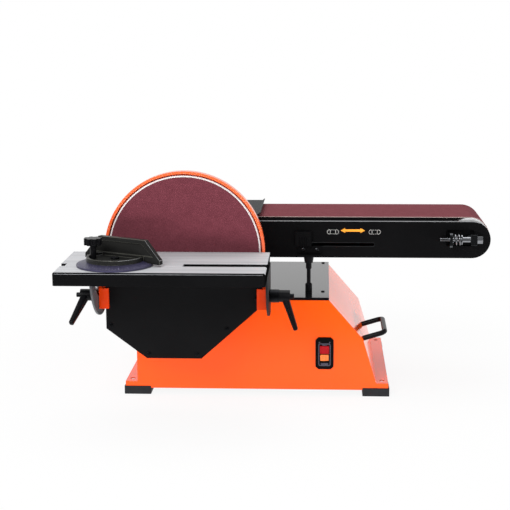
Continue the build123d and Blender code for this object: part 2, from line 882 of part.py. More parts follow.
with BuildPart() as rear_bearing_bracket:
    with BuildSketch(front_plane(rear_plate_back)):
        with Locations((spindle_x, spindle_z)):
            Circle(rear_plate_half_width)
        with Locations((spindle_x, base_height)):
            Rectangle(2 * rear_plate_half_width, spindle_z - base_height, align=(Align.CENTER, Align.MIN))
    extrude(amount=rear_plate_thickness)
    with BuildSketch(front_plane(rear_plate_front)):
        with Locations((spindle_x, spindle_z)):
            Circle(housing_tube_r)
    extrude(amount=rear_boss_length)
    with BuildSketch(front_plane(rear_shoulder)):
        with Locations((spindle_x, spindle_z)):
            Circle(pivot_spigot_r)
    extrude(amount=rear_shoulder - far_plate_front)
    with Locations((spindle_x, rear_foot_mid, base_height)):
        Box(2 * pedestal_foot_half_width, rear_foot_depth, pedestal_foot_height,
            align=(Align.CENTER, Align.CENTER, Align.MIN))
    with BuildSketch(front_plane(rear_plate_back)):
        with Locations((spindle_x, spindle_z)):
            Circle(housing_bore_r)
    extrude(amount=rear_plate_back - far_plate_front, mode=Mode.SUBTRACT)
    with BuildSketch(front_plane(rear_bearing_front + bearing_width)):
        with Locations((spindle_x, spindle_z)):
            Circle(bearing_outer_r)
    extrude(amount=rear_bearing_front + bearing_width - far_plate_front, mode=Mode.SUBTRACT)
rear_bearing_bracket.part.label = "rear_bearing_bracket"
export_step(rear_bearing_bracket.part, "parts/rear_bearing_bracket.step")

# Bolts: four in the housing flange from behind, two in each pedestal foot from above
foot_bolt_x = pedestal_foot_half_width - pedestal_bolt_inset
foot_bolts_at = [
    (spindle_x + side * foot_bolt_x, y)
    for side in (-1, 1)
    for y in (pedestal_mid, rear_foot_mid)
]

with BuildPart() as housing_bolts:
    with BuildSketch(front_plane(housing_back + housing_flange_thickness)):
        with Locations(*housing_bolts_at):
            RegularPolygon(housing_bolt_head_r, 6)
    extrude(amount=-housing_bolt_head_height)
    with BuildSketch(front_plane(housing_back + housing_flange_thickness)):
        with Locations(*housing_bolts_at):
            Circle(housing_bolt_r)
    extrude(amount=housing_flange_thickness + housing_back_wall)
    with BuildSketch(Plane.XY.offset(base_height + pedestal_foot_height)):
        with Locations(*foot_bolts_at):
            RegularPolygon(housing_bolt_head_r, 6)
    extrude(amount=housing_bolt_head_height)
housing_bolts.part.label = "housing_bolts"
export_step(housing_bolts.part, "parts/housing_bolts.step")

# Spindle body: shaft, disc, abrasive, drum and pulley turn together
spindle_front = plate_back + disc_hub_length - spindle_grip - disc_hub_length / 2

with BuildPart() as spindle:
    with BuildSketch(front_plane(pulley_back)):
        with Locations((spindle_x, spindle_z)):
            Circle(spindle_r)
    extrude(amount=pulley_back - spindle_front)
spindle.part.label = "spindle"
export_step(spindle.part, "parts/spindle.step")

with BuildPart() as disc_plate:
    with BuildSketch(front_plane(plate_back)):
        with Locations((spindle_x, spindle_z)):
            Circle(plate_r)
    extrude(amount=plate_thickness)
    chamfer(disc_plate.edges().filter_by(GeomType.CIRCLE).sort_by(Axis.Y)[0], length=plate_margin / 2)
    with BuildSketch(front_plane(plate_back + disc_hub_length)):
        with Locations((spindle_x, spindle_z)):
            Circle(disc_hub_r)
    extrude(amount=disc_hub_length)
    with BuildSketch(front_plane(plate_back + disc_hub_length)):
        with Locations((spindle_x, spindle_z)):
            Circle(spindle_r)
    extrude(amount=plate_back + disc_hub_length - spindle_front, mode=Mode.SUBTRACT)
disc_plate.part.label = "disc_plate"
export_step(disc_plate.part, "parts/disc_plate.step")

with BuildPart() as abrasive_disc:
    with BuildSketch(front_plane(disc_face + paper_thickness)):
        with Locations((spindle_x, spindle_z)):
            Circle(disc_radius)
    extrude(amount=paper_thickness)
abrasive_disc.part.label = "abrasive_disc"
export_step(abrasive_disc.part, "parts/abrasive_disc.step")

with BuildPart() as drive_drum:
    with BuildSketch(front_plane(belt_far)):
        with Locations((spindle_x, spindle_z)):
            Circle(drum_r)
            Circle(spindle_r, mode=Mode.SUBTRACT)
    extrude(amount=belt_width)
drive_drum.part.label = "drive_drum"
export_step(drive_drum.part, "parts/drive_drum.step")


def grooved_pulley(radius, bore_r, centre_z):
    """A pulley with one V groove, turned about a line along Y at spindle_x and centre_z."""
    with BuildPart(mode=Mode.PRIVATE) as pulley:
        with BuildSketch(Plane.YZ.offset(spindle_x)):
            with Locations((pulley_mid, centre_z)):
                Rectangle(pulley_width, radius, align=(Align.CENTER, Align.MIN))
                Rectangle(pulley_width, bore_r, align=(Align.CENTER, Align.MIN), mode=Mode.SUBTRACT)
            with BuildLine():
                Polyline(
                    (pulley_mid - groove_half_width, centre_z + radius - groove_depth),
                    (pulley_mid + groove_half_width, centre_z + radius - groove_depth),
                    (pulley_mid + groove_half_width + groove_flare, centre_z + radius),
                    (pulley_mid - groove_half_width - groove_flare, centre_z + radius),
                    close=True,
                )
            make_face(mode=Mode.SUBTRACT)
        revolve(axis=Axis((spindle_x, 0, centre_z), (0, 1, 0)))
    return pulley.part


with BuildPart() as spindle_pulley:
    add(grooved_pulley(spindle_pulley_r, spindle_r, spindle_z))
spindle_pulley.part.label = "spindle_pulley"
export_step(spindle_pulley.part, "parts/spindle_pulley.step")

# Motor: housing with feet, rotor with shaft, and its pulley
with BuildPart() as motor_housing:
    with BuildSketch(front_plane(motor_back)):
        with Locations((spindle_x, motor_z)):
            Circle(motor_r)
    extrude(amount=motor_length)
    fillet(motor_housing.edges().filter_by(GeomType.CIRCLE), radius=motor_end_wall / 2)
    with Locations((spindle_x, (motor_front + motor_back) / 2, floor_top)):
        Box(2 * motor_foot_half_width, motor_foot_length, motor_z - floor_top,
            align=(Align.CENTER, Align.CENTER, Align.MIN))
    with BuildSketch(front_plane(motor_back - motor_end_wall)):
        with Locations((spindle_x, motor_z)):
            Circle(rotor_r + rotor_air_gap)
    extrude(amount=motor_length - 2 * motor_end_wall, mode=Mode.SUBTRACT)
    with BuildSketch(front_plane(motor_back)):
        with Locations((spindle_x, motor_z)):
            Circle(motor_shaft_r + running_fit)
    extrude(amount=motor_length, mode=Mode.SUBTRACT)
motor_housing.part.label = "motor_housing"
export_step(motor_housing.part, "parts/motor_housing.step")

with BuildPart() as motor_rotor:
    with BuildSketch(front_plane(pulley_back)):
        with Locations((spindle_x, motor_z)):
            Circle(motor_shaft_r)
    extrude(amount=pulley_back - motor_front)
    with BuildSketch(front_plane(motor_back - motor_end_wall - rotor_end_gap)):
        with Locations((spindle_x, motor_z)):
            Circle(rotor_r)
    extrude(amount=motor_length - 2 * (motor_end_wall + rotor_end_gap))
motor_rotor.part.label = "motor_rotor"
export_step(motor_rotor.part, "parts/motor_rotor.step")

with BuildPart() as motor_pulley:
    add(grooved_pulley(motor_pulley_r, motor_shaft_r, motor_z))
motor_pulley.part.label = "motor_pulley"
export_step(motor_pulley.part, "parts/motor_pulley.step")

spindle_belt_r = spindle_pulley_r - groove_depth + turning_gap
motor_belt_r = motor_pulley_r - groove_depth + turning_gap

with BuildPart() as drive_belt:
    with BuildSketch(front_plane(pulley_mid + drive_belt_width / 2)):
        with Locations((spindle_x, spindle_z)):
            Circle(spindle_belt_r + drive_belt_thickness)
        with Locations((spindle_x, motor_z)):
            Circle(motor_belt_r + drive_belt_thickness)
        make_hull()
    extrude(amount=drive_belt_width)
    with BuildSketch(front_plane(pulley_mid + drive_belt_width / 2)):
        with Locations((spindle_x, spindle_z)):
            Circle(spindle_belt_r)
        with Locations((spindle_x, motor_z)):
            Circle(motor_belt_r)
        make_hull()
    extrude(amount=drive_belt_width, mode=Mode.SUBTRACT)
drive_belt.part.label = "drive_belt"
export_step(drive_belt.part, "parts/drive_belt.step")

with BuildPart() as run_capacitor:
    with Locations((spindle_x + capacitor_offset, 0, floor_top)):
        Cylinder(capacitor_r, capacitor_length, align=(Align.CENTER, Align.CENTER, Align.MIN))
    fillet(run_capacitor.faces().sort_by(Axis.Z)[-1].edges(), radius=panel_sheet)
run_capacitor.part.label = "run_capacitor"
export_step(run_capacitor.part, "parts/run_capacitor.step")

# Belt cover: a pan behind the rear bracket, open below where the belt goes into the base
with BuildPart() as belt_cover:
    with BuildSketch(front_plane(belt_cover_back)):
        with Locations((spindle_x, spindle_z)):
            Circle(rear_plate_half_width)
        with Locations((spindle_x, base_height)):
            Rectangle(2 * rear_plate_half_width, spindle_z - base_height, align=(Align.CENTER, Align.MIN))
    extrude(amount=belt_cover_back - rear_plate_back)
    back_edges = belt_cover.faces().sort_by(Axis.Y)[-1].edges()
    fillet(back_edges.filter_by(Axis.X, reverse=True), radius=belt_cover_sheet)
    with BuildSketch(front_plane(belt_cover_back - belt_cover_sheet)):
        with Locations((spindle_x, spindle_z)):
            Circle(rear_plate_half_width - belt_cover_sheet)
        with Locations((spindle_x, base_height)):
            Rectangle(2 * (rear_plate_half_width - belt_cover_sheet), spindle_z - base_height,
                      align=(Align.CENTER, Align.MIN))
    extrude(amount=belt_cover_back - rear_plate_back, mode=Mode.SUBTRACT)
belt_cover.part.label = "belt_cover"
export_step(belt_cover.part, "parts/belt_cover.step")

# Arm side plates: each turns on a spigot, and holds the covers off on bosses
lever_z = spindle_z + lever_level
lever_pin_x = spindle_x + lever_pin_offset
lever_pin_y = belt_near + lever_pin_setback
slot_middle = spindle_x + (lever_slot_from + lever_slot_to) / 2
slot_length = lever_slot_to - lever_slot_from
drum_cover_inner_r = belt_outer_r + drum_cover_gap
carriage_from = idler_x - carriage_stop
bosses_at = [(spindle_x + offset_x, spindle_z) for offset_x in side_boss_offsets]


def arm_plate(back, boss_back):
    """One side plate of the arm: a tab up to the drum cover, bosses, and a fork for the carriage."""
    with BuildPart(mode=Mode.PRIVATE) as plate:
        with BuildSketch(front_plane(back)):
            with Locations((spindle_x, spindle_z)):
                Circle(arm_plate_pivot_r)
            with Locations((arm_plate_end - arm_plate_end_r, spindle_z)):
                Circle(arm_plate_end_r)
            make_hull()
            with Locations((spindle_x + drum_cover_tab_from, spindle_z)):
                Rectangle(drum_cover_tab_length, drum_cover_inner_r, align=(Align.MIN, Align.MIN))
            with Locations((spindle_x, spindle_z)):
                Circle(pivot_spigot_r + running_fit, mode=Mode.SUBTRACT)
            with Locations((carriage_from - carriage_gap, spindle_z)):
                Rectangle(carriage_stop, 2 * (carriage_arm_r + fork_gap),
                          align=(Align.MIN, Align.CENTER), mode=Mode.SUBTRACT)
        extrude(amount=arm_plate_thickness)
        with BuildSketch(front_plane(boss_back)):
            with Locations(*bosses_at):
                Circle(side_boss_r)
        extrude(amount=side_cover_gap)
    return plate.part


with BuildPart() as arm_near_plate:
    add(arm_plate(near_plate_back, near_plate_front))
    with BuildSketch(front_plane(near_plate_back)):
        with Locations((slot_middle, lever_z)):
            Rectangle(slot_length + lever_slot_height, 2 * lever_slot_height)
    extrude(amount=arm_plate_thickness, mode=Mode.SUBTRACT)
arm_near_plate.part.label = "arm_near_plate"
export_step(arm_near_plate.part, "parts/arm_near_plate.step")

with BuildPart() as arm_far_plate:
    add(arm_plate(far_plate_back, far_plate_back + side_cover_gap))
arm_far_plate.part.label = "arm_far_plate"
export_step(arm_far_plate.part, "parts/arm_far_plate.step")

arm_inner_width = far_plate_front - near_plate_back
arm_mid_y = (far_plate_front + near_plate_back) / 2
platen_top = spindle_z + belt_inner_r - platen_gap
platen_from = spindle_x + belt_outer_r + platen_start
platen_to = idler_x - platen_stop

with BuildPart() as arm_platen:
    with Locations(((platen_from + platen_to) / 2, arm_mid_y, platen_top)):
        Box(platen_to - platen_from, arm_inner_width, platen_thickness,
            align=(Align.CENTER, Align.CENTER, Align.MAX))
    front_edges = arm_platen.faces().sort_by(Axis.Z)[-1].edges().filter_by(Axis.Y)
    chamfer(front_edges, length=platen_thickness / 2)
arm_platen.part.label = "arm_platen"
export_step(arm_platen.part, "parts/arm_platen.step")

with BuildPart() as arm_crossbars:
    for bar_x in (spindle_x + first_crossbar_offset, spindle_x + guide_crossbar_offset):
        with Locations((bar_x, arm_mid_y, spindle_z)):
            Box(crossbar_width, arm_inner_width, 2 * crossbar_half_height)
    with BuildSketch(side_plane(spindle_x + guide_crossbar_offset - crossbar_width)):
        with Locations((lever_pin_y, lever_z)):
            Circle(tension_rod_r + running_fit)
    extrude(amount=2 * crossbar_width, mode=Mode.SUBTRACT)
arm_crossbars.part.label = "arm_crossbars"
export_step(arm_crossbars.part, "parts/arm_crossbars.step")

shelf_top = lever_z - lever_hub_height / 2 - shelf_gap
with BuildPart() as lever_shelf:
    with Locations((lever_pin_x, arm_mid_y, shelf_top)):
        Box(shelf_length, arm_inner_width, shelf_thickness, align=(Align.CENTER, Align.CENTER, Align.MAX))
    with Locations((lever_pin_x, lever_pin_y, shelf_top)):
        Cylinder(lever_pin_r, lever_hub_height + 2 * shelf_gap,
                 align=(Align.CENTER, Align.CENTER, Align.MIN))
lever_shelf.part.label = "lever_shelf"
export_step(lever_shelf.part, "parts/lever_shelf.step")

# Side covers: a shallow pan with one round end
cover_low = spindle_z - belt_outer_r - side_cover_below_belt
cover_high = spindle_z + belt_outer_r - side_cover_top_drop
cover_end_r = (cover_high - cover_low) / 2
cover_mid_z = (cover_high + cover_low) / 2
cover_end_x = idler_x + belt_outer_r + side_cover_end_gap - cover_end_r
cover_start_x = spindle_x + side_cover_start


def side_cover(outer, inward):
    """A side cover whose face is at depth outer, with its rim turned towards inward (1 back, -1 front)."""
    rim_depth = side_cover_sheet + side_cover_gap
    pocket_r = cover_end_r - side_cover_sheet
    pocket_length = cover_end_x - cover_start_x - side_cover_sheet
    with BuildPart(mode=Mode.PRIVATE) as cover:
        with BuildSketch(front_plane(outer)):
            with Locations((cover_end_x, cover_mid_z)):
                Circle(cover_end_r)
            with Locations((cover_start_x, cover_mid_z)):
                Rectangle(cover_end_x - cover_start_x, 2 * cover_end_r, align=(Align.MIN, Align.CENTER))
        extrude(amount=-inward * rim_depth)
        rim = cover.faces().sort_by(Axis.Y)[0 if inward > 0 else -1].edges()
        fillet(rim, radius=side_cover_edge_round)
        with BuildSketch(front_plane(outer + inward * side_cover_sheet)):
            with Locations((cover_end_x, cover_mid_z)):
                Circle(pocket_r)
            with Locations((cover_start_x + side_cover_sheet, cover_mid_z)):
                Rectangle(pocket_length, 2 * pocket_r, align=(Align.MIN, Align.CENTER))
        extrude(amount=-inward * side_cover_gap, mode=Mode.SUBTRACT)
    return cover.part


screw_y = near_cover_face - tracking_standoff
lug_right = idler_x - tracking_lug_offset
lug_left = lug_right - tracking_lug_thickness
block_right = idler_x + tracking_block_offset + tracking_block_width / 2
window_left = lug_left - carriage_travel - tracking_window_gap
window_right = idler_x + idler_axle_r + tracking_window_gap
window_height = 2 * (tracking_lug_half_height + tracking_window_gap)

with BuildPart() as arm_near_cover:
    add(side_cover(near_cover_face, 1))
    with BuildSketch(front_plane(near_plate_front)):
        with Locations((slot_middle, lever_z)):
            SlotOverall(slot_length, lever_slot_height)
        with Locations(((window_left + window_right) / 2, spindle_z)):
            RectangleRounded(window_right - window_left, window_height, tracking_window_corner)
    extrude(amount=near_plate_front - near_cover_face, mode=Mode.SUBTRACT)
arm_near_cover.part.label = "arm_near_cover"
export_step(arm_near_cover.part, "parts/arm_near_cover.step")

with BuildPart() as arm_far_cover:
    add(side_cover(far_cover_face, -1))
arm_far_cover.part.label = "arm_far_cover"
export_step(arm_far_cover.part, "parts/arm_far_cover.step")

with BuildPart() as sanding_belt:
    with BuildSketch(front_plane(belt_far)):
        with Locations((spindle_x, spindle_z), (idler_x, spindle_z)):
            Circle(belt_outer_r)
        make_hull()
    extrude(amount=belt_width)
    with BuildSketch(front_plane(belt_far)):
        with Locations((spindle_x, spindle_z), (idler_x, spindle_z)):
            Circle(belt_inner_r)
        make_hull()
    extrude(amount=belt_width, mode=Mode.SUBTRACT)
sanding_belt.part.label = "sanding_belt"
export_step(sanding_belt.part, "parts/sanding_belt.step")

# Drum cover: sheet over the drive end of the belt, with a lip turned up at its free edge
drum_cover_top = spindle_z + drum_cover_inner_r
drum_cover_end = spindle_x + drum_cover_reach
drum_cover_tip = (drum_cover_end + drum_cover_lip, drum_cover_top + drum_cover_lip)
wrap_angle = 180 + drum_cover_wrap
wrap_end = (
    spindle_x + drum_cover_inner_r * cos(radians(wrap_angle)),
    spindle_z + drum_cover_inner_r * sin(radians(wrap_angle)),
)
cover_near = near_plate_front - drum_cover_overhang
cover_far = far_plate_back

with BuildPart() as drum_cover:
    with BuildSketch(front_plane(cover_far)):
        with BuildLine():
            CenterArc((spindle_x, spindle_z), drum_cover_inner_r, 90, wrap_angle - 90)
            Line((spindle_x, drum_cover_top), (drum_cover_end, drum_cover_top))
            Line((drum_cover_end, drum_cover_top), drum_cover_tip)
            offset(amount=drum_cover_sheet, side=Side.RIGHT, kind=Kind.INTERSECTION)
        make_face()
    extrude(amount=cover_far - cover_near)
drum_cover.part.label = "drum_cover"
export_step(drum_cover.part, "parts/drum_cover.step")

# Idler carriage: two arms, a block pushed by a rod, a lug for the tracking screw, and the idler's axle
cam_throw = carriage_travel / (2 * sin(radians(lever_travel / 2)))
cam_angle = 90 - lever_travel / 2
cam_x = lever_pin_x + cam_throw * cos(radians(cam_angle))
cam_y = lever_pin_y + cam_throw * sin(radians(cam_angle))
rod_tip = cam_x + lever_cam_r + turning_gap

with BuildPart() as idler_carriage:
    for back in (near_plate_back, far_plate_back):
        with BuildSketch(front_plane(back)):
            with Locations((idler_x, spindle_z)):
                Circle(carriage_arm_r)
            with Locations((carriage_from, spindle_z)):
                Rectangle(idler_x - carriage_from, 2 * carriage_arm_r, align=(Align.MIN, Align.CENTER))
            with Locations((idler_x, spindle_z)):
                Circle(idler_axle_r, mode=Mode.SUBTRACT)
        extrude(amount=arm_plate_thickness)
    with Locations((carriage_from, arm_mid_y, spindle_z)):
        Box(carriage_block_width, arm_inner_width, 2 * carriage_block_half_height,
            align=(Align.MIN, Align.CENTER, Align.CENTER))
    with BuildSketch(side_plane(rod_tip)):
        with Locations((lever_pin_y, lever_z)):
            Circle(tension_rod_r)
    extrude(amount=carriage_from - rod_tip)
    with Locations((lug_left, near_plate_back, spindle_z)):
        Box(tracking_lug_thickness, near_plate_back - screw_y + tracking_lug_lead,
            2 * tracking_lug_half_height, align=(Align.MIN, Align.MAX, Align.CENTER))
    lug_corners = idler_carriage.edges().filter_by(Axis.X).group_by(Axis.Y)[0]
    fillet(lug_corners, radius=tracking_lug_corner)
    with BuildSketch(side_plane(lug_left)):
        with Locations((screw_y, spindle_z)):
            Circle(tracking_thread_r + running_fit)
    extrude(amount=tracking_lug_thickness, mode=Mode.SUBTRACT)
idler_carriage.part.label = "idler_carriage"
export_step(idler_carriage.part, "parts/idler_carriage.step")

axle_tip = screw_y + (tracking_block_depth / 2 + tracking_shank_r) / 2
with BuildPart() as idler_axle:
    with BuildSketch(front_plane(far_plate_back + idler_axle_overhang)):
        with Locations((idler_x, spindle_z)):
            Circle(idler_axle_r)
    extrude(amount=far_plate_back + idler_axle_overhang - axle_tip)
    with Locations((block_right, screw_y, spindle_z)):
        Box(tracking_block_width, tracking_block_depth, tracking_block_height,
            align=(Align.MAX, Align.CENTER, Align.CENTER))
    with BuildSketch(side_plane(block_right - tracking_block_width)):
        with Locations((screw_y, spindle_z)):
            Circle(tracking_shank_r + running_fit)
    extrude(amount=tracking_block_width, mode=Mode.SUBTRACT)
idler_axle.part.label = "idler_axle"
export_step(idler_axle.part, "parts/idler_axle.step")

with BuildPart() as idler_roller:
    with BuildSketch(front_plane(belt_far)):
        with Locations((idler_x, spindle_z)):
            Circle(drum_r)
            Circle(idler_axle_r + running_fit, mode=Mode.SUBTRACT)
    extrude(amount=belt_width)
idler_roller.part.label = "idler_roller"
export_step(idler_roller.part, "parts/idler_roller.step")

# Tracking screw: thread through the lug, a collar for the spring, a shank in the block and a hex head
spring_from = lug_right + turning_gap
collar_from = spring_from + tracking_spring_length + turning_gap
head_from = block_right + turning_gap

with BuildPart() as tracking_screw:
    with BuildSketch(side_plane(lug_left - tracking_thread_tail)):
        with Locations((screw_y, spindle_z)):
            Circle(tracking_thread_r)
    extrude(amount=collar_from - lug_left + tracking_thread_tail)
    with BuildSketch(side_plane(collar_from)):
        with Locations((screw_y, spindle_z)):
            Circle(tracking_collar_r)
    extrude(amount=tracking_collar_thickness)
    with BuildSketch(side_plane(collar_from)):
        with Locations((screw_y, spindle_z)):
            Circle(tracking_shank_r)
    extrude(amount=head_from - collar_from)
    with BuildSketch(side_plane(head_from)):
        with Locations((screw_y, spindle_z)):
            RegularPolygon(tracking_head_flats / 2, 6, major_radius=False)
    extrude(amount=tracking_head_length)
    with BuildSketch(side_plane(spring_from)):
        with Locations((screw_y, spindle_z)):
            Circle(tracking_spring_r)
            Circle(tracking_spring_r - tracking_spring_wire, mode=Mode.SUBTRACT)
    extrude(amount=tracking_spring_length)
tracking_screw.part.label = "tracking_screw"
export_step(tracking_screw.part, "parts/tracking_screw.step")

# Tension lever: an off-centre hub on the pin, a bar out through the slot and a ribbed grip
lever_way = Vector(-sin(radians(lever_lean)), -cos(radians(lever_lean)), 0)
lever_plane = Plane(origin=(lever_pin_x, lever_pin_y, lever_z), x_dir=lever_way, z_dir=(0, 0, 1))
lever_end = Vector(lever_pin_x, lever_pin_y, lever_z) + lever_way * lever_reach
grip_low = lever_z - lever_bar_thickness / 2

with BuildPart() as tension_lever:
    with BuildSketch(lever_plane.offset(-lever_bar_thickness / 2)):
        Rectangle(lever_reach, lever_bar_width, align=(Align.MIN, Align.CENTER))
    extrude(amount=lever_bar_thickness)
    with BuildSketch(Plane.XY.offset(lever_z - lever_hub_height / 2)):
        with Locations((cam_x, cam_y)):
            Circle(lever_cam_r)
    extrude(amount=lever_hub_height)
    with Locations((lever_pin_x, lever_pin_y, lever_z)):
        Cylinder(lever_pin_r + running_fit, 2 * lever_hub_height, mode=Mode.SUBTRACT)
    with Locations((lever_end.X, lever_end.Y, grip_low)):
        Box(lever_grip_length, lever_grip_thickness, lever_grip_height,
            align=(Align.CENTER, Align.CENTER, Align.MIN), mode=Mode.SUBTRACT)
tension_lever.part.label = "tension_lever"
export_step(tension_lever.part, "parts/tension_lever.step")

with BuildPart() as lever_grip:
    with Locations((lever_end.X, lever_end.Y, grip_low)):
        Box(lever_grip_length, lever_grip_thickness, lever_grip_height,
            align=(Align.CENTER, Align.CENTER, Align.MIN))
    fillet(lever_grip.edges().filter_by(Axis.Z), radius=grip_rib_width)
    rib_from = lever_end.X - (grip_rib_count - 1) * grip_rib_pitch / 2
    grip_face = lever_end.Y - lever_grip_thickness / 2
    for index in range(grip_rib_count):
        with Locations((rib_from + index * grip_rib_pitch, grip_face, grip_low)):
            Box(grip_rib_width, 2 * grip_rib_depth, lever_grip_height - lever_grip_rise,
                align=(Align.CENTER, Align.CENTER, Align.MIN), mode=Mode.SUBTRACT)
lever_grip.part.label = "lever_grip"
export_step(lever_grip.part, "parts/lever_grip.step")

# Strut: angle bracket on the near cover, rod with collar and foot between its shelf and the top plate
strut_x = spindle_x + strut_offset
bracket_low = cover_low + strut_bracket_rise
bracket_x = strut_x - strut_bracket_lead
strut_y = near_cover_face - strut_bracket_reach / 2
strut_screws_at = [
    (bracket_x + strut_bracket_length / 2 + side * strut_screw_spacing / 2, bracket_low + strut_screw_rise)
    for side in (-1, 1)
]

with BuildPart() as strut_bracket:
    with Locations((bracket_x, near_cover_face, bracket_low)):
        Box(strut_bracket_length, strut_bracket_sheet, strut_bracket_height,
            align=(Align.MIN, Align.MAX, Align.MIN))
        Box(strut_bracket_length, strut_bracket_reach, strut_bracket_sheet,
            align=(Align.MIN, Align.MAX, Align.MIN))
    shelf_corners = strut_bracket.edges().filter_by(Axis.Z).group_by(Axis.Y)[0]
    fillet(shelf_corners, radius=strut_bracket_sheet)
strut_bracket.part.label = "strut_bracket"
export_step(strut_bracket.part, "parts/strut_bracket.step")

with BuildPart() as strut_screws:
    with BuildSketch(front_plane(near_cover_face - strut_bracket_sheet)):
        with Locations(*strut_screws_at):
            Circle(strut_screw_r)
    extrude(amount=strut_screw_height)
    fillet(strut_screws.faces().sort_by(Axis.Y)[:2].edges(), radius=strut_screw_height / 2)
strut_screws.part.label = "strut_screws"
export_step(strut_screws.part, "parts/strut_screws.step")

collar_low = bracket_low - strut_collar_height
neck_low = collar_low - strut_neck_height

with BuildPart() as strut_rod:
    with BuildSketch(side_plane(strut_x)):
        with BuildLine():
            Polyline(
                (strut_y, base_height),
                (strut_y + strut_foot_r, base_height),
                (strut_y + strut_foot_r, base_height + strut_foot_height - strut_foot_slope),
                (strut_y + strut_rod_r, base_height + strut_foot_height),
                (strut_y + strut_rod_r, neck_low - strut_foot_slope),
                (strut_y + strut_neck_r, neck_low),
                (strut_y + strut_neck_r, collar_low),
                (strut_y + strut_collar_low_r, collar_low),
                (strut_y + strut_collar_r, bracket_low),
                (strut_y, bracket_low),
                close=True,
            )
        make_face()
    revolve(axis=Axis((strut_x, strut_y, 0), (0, 0, 1)))
strut_rod.part.label = "strut_rod"
export_step(strut_rod.part, "parts/strut_rod.step")

# Work table: ribbed casting with a mitre slot and a bevelled rear edge
table_mid_x = (table_left + table_right) / 2
table_mid_y = (table_front + table_back) / 2
table_width = table_right - table_left
left_rib = spindle_x - trunnion_outer
bevel_depth = table_rim_depth - table_rear_land
right_bay = table_right - left_rib - 2 * trunnion_plate
left_bay = left_rib - table_left - table_rim

with BuildPart() as table_top:
    with BuildSketch(Plane.XY.offset(rim_bottom)):
        with Locations((table_mid_x, table_mid_y)):
            Rectangle(table_width, table_depth)
    extrude(amount=table_rim_depth)
    front_corners = table_top.edges().filter_by(Axis.Z).group_by(Axis.Y)[0]
    fillet(front_corners, radius=table_corner_r)
    with BuildSketch(Plane.XY.offset(rim_bottom)):
        with Locations((left_rib + trunnion_plate, table_front + table_rim)):
            Rectangle(right_bay, table_depth, align=(Align.MIN, Align.MIN))
        with Locations((table_left + table_rim, table_front + table_rim)):
            Rectangle(left_bay, table_depth, align=(Align.MIN, Align.MIN))
    extrude(amount=table_rim_depth - table_plate, mode=Mode.SUBTRACT)
    with Locations((table_mid_x, mitre_slot_y, table_top_z - table_plate)):
        Box(table_width - 2 * trunnion_plate, mitre_slot_width + 2 * mitre_rib_margin, mitre_rib_depth,
            align=(Align.CENTER, Align.CENTER, Align.MAX))
    with Locations((table_mid_x, mitre_slot_y, table_top_z)):
        Box(table_width, mitre_slot_width, mitre_slot_depth,
            align=(Align.CENTER, Align.CENTER, Align.MAX), mode=Mode.SUBTRACT)
    with BuildSketch(side_plane(table_left)):
        with BuildLine():
            Polyline(
                (table_back, table_top_z - table_rear_land),
                (table_back, rim_bottom),
                (table_back - bevel_depth, rim_bottom),
                close=True,
            )
        make_face()
    extrude(amount=table_width, mode=Mode.SUBTRACT)
    top_edges = table_top.faces().sort_by(Axis.Z)[-2:].edges()
    front_edge = top_edges.filter_by(Axis.X).sort_by(Axis.Y)[0]
    fillet(front_edge, radius=table_edge_round)
table_top.part.label = "table_top"
export_step(table_top.part, "parts/table_top.step")

# Trunnions: half-moon plates under the table, slotted about the tilt axis
slot_start = 270 - lock_stud_angle - tilt_travel - tilt_slot_spare
slot_sweep = lock_stud_angle - guide_pin_angle + tilt_travel + 2 * tilt_slot_spare
tilt_slot_width = 2 * (lock_stud_r + tilt_slot_clearance)
tilt_slot = arc_slot((disc_face, spindle_z), tilt_slot_r, slot_start, slot_sweep, tilt_slot_width)

with BuildPart() as table_trunnions:
    for plate_x in (spindle_x - trunnion_outer, spindle_x + trunnion_inner):
        with BuildSketch(side_plane(plate_x)):
            with Locations((disc_face, spindle_z)):
                Circle(trunnion_r)
            with Locations((disc_face + trunnion_back, rim_bottom)):
                Rectangle(2 * trunnion_r, trunnion_r, align=(Align.MAX, Align.MAX), mode=Mode.INTERSECT)
            add(tilt_slot, mode=Mode.SUBTRACT)
        extrude(amount=trunnion_plate)
table_trunnions.part.label = "table_trunnions"
export_step(table_trunnions.part, "parts/table_trunnions.step")

# Support brackets on the disc housing, relieved so that the tilted table clears them
bracket_outline = [
    (disc_face + bracket_back, spindle_z - bracket_top_drop),
    (disc_face + bracket_tilt_relief - bracket_top_drop, spindle_z - bracket_top_drop),
    (disc_face - bracket_front, spindle_z - bracket_front - bracket_tilt_relief),
    (disc_face - bracket_front, spindle_z - bracket_drop),
    (disc_face + bracket_back, spindle_z - bracket_drop),
]
bracket_flange_height = bracket_drop - bracket_front - bracket_tilt_relief

with BuildPart() as table_brackets:
    for side, plate_x in ((-1, spindle_x - bracket_outer), (1, spindle_x + bracket_inner)):
        with BuildSketch(side_plane(plate_x)):
            with BuildLine():
                Polyline(*bracket_outline, close=True)
            make_face()
            with Locations((stud_y, stud_z), (pin_y, pin_z)):
                Circle(lock_stud_r, mode=Mode.SUBTRACT)
        extrude(amount=bracket_plate)
        flange_x = spindle_x + side * (bracket_outer - bracket_flange / 2)
        with Locations((flange_x, disc_face - bracket_front, spindle_z - bracket_drop)):
            Box(bracket_flange, bracket_flange_sheet, bracket_flange_height,
                align=(Align.CENTER, Align.MIN, Align.MIN))
table_brackets.part.label = "table_brackets"
export_step(table_brackets.part, "parts/table_brackets.step")

# Lock studs, guide pins and washers
washer_from = trunnion_outer + washer_gap


def hub_start(side):
    """How far from the spindle line a clamp lever's hub starts, on the left (-1) or right (1)."""
    return washer_from + (left_washer if side < 0 else right_washer) + washer_gap


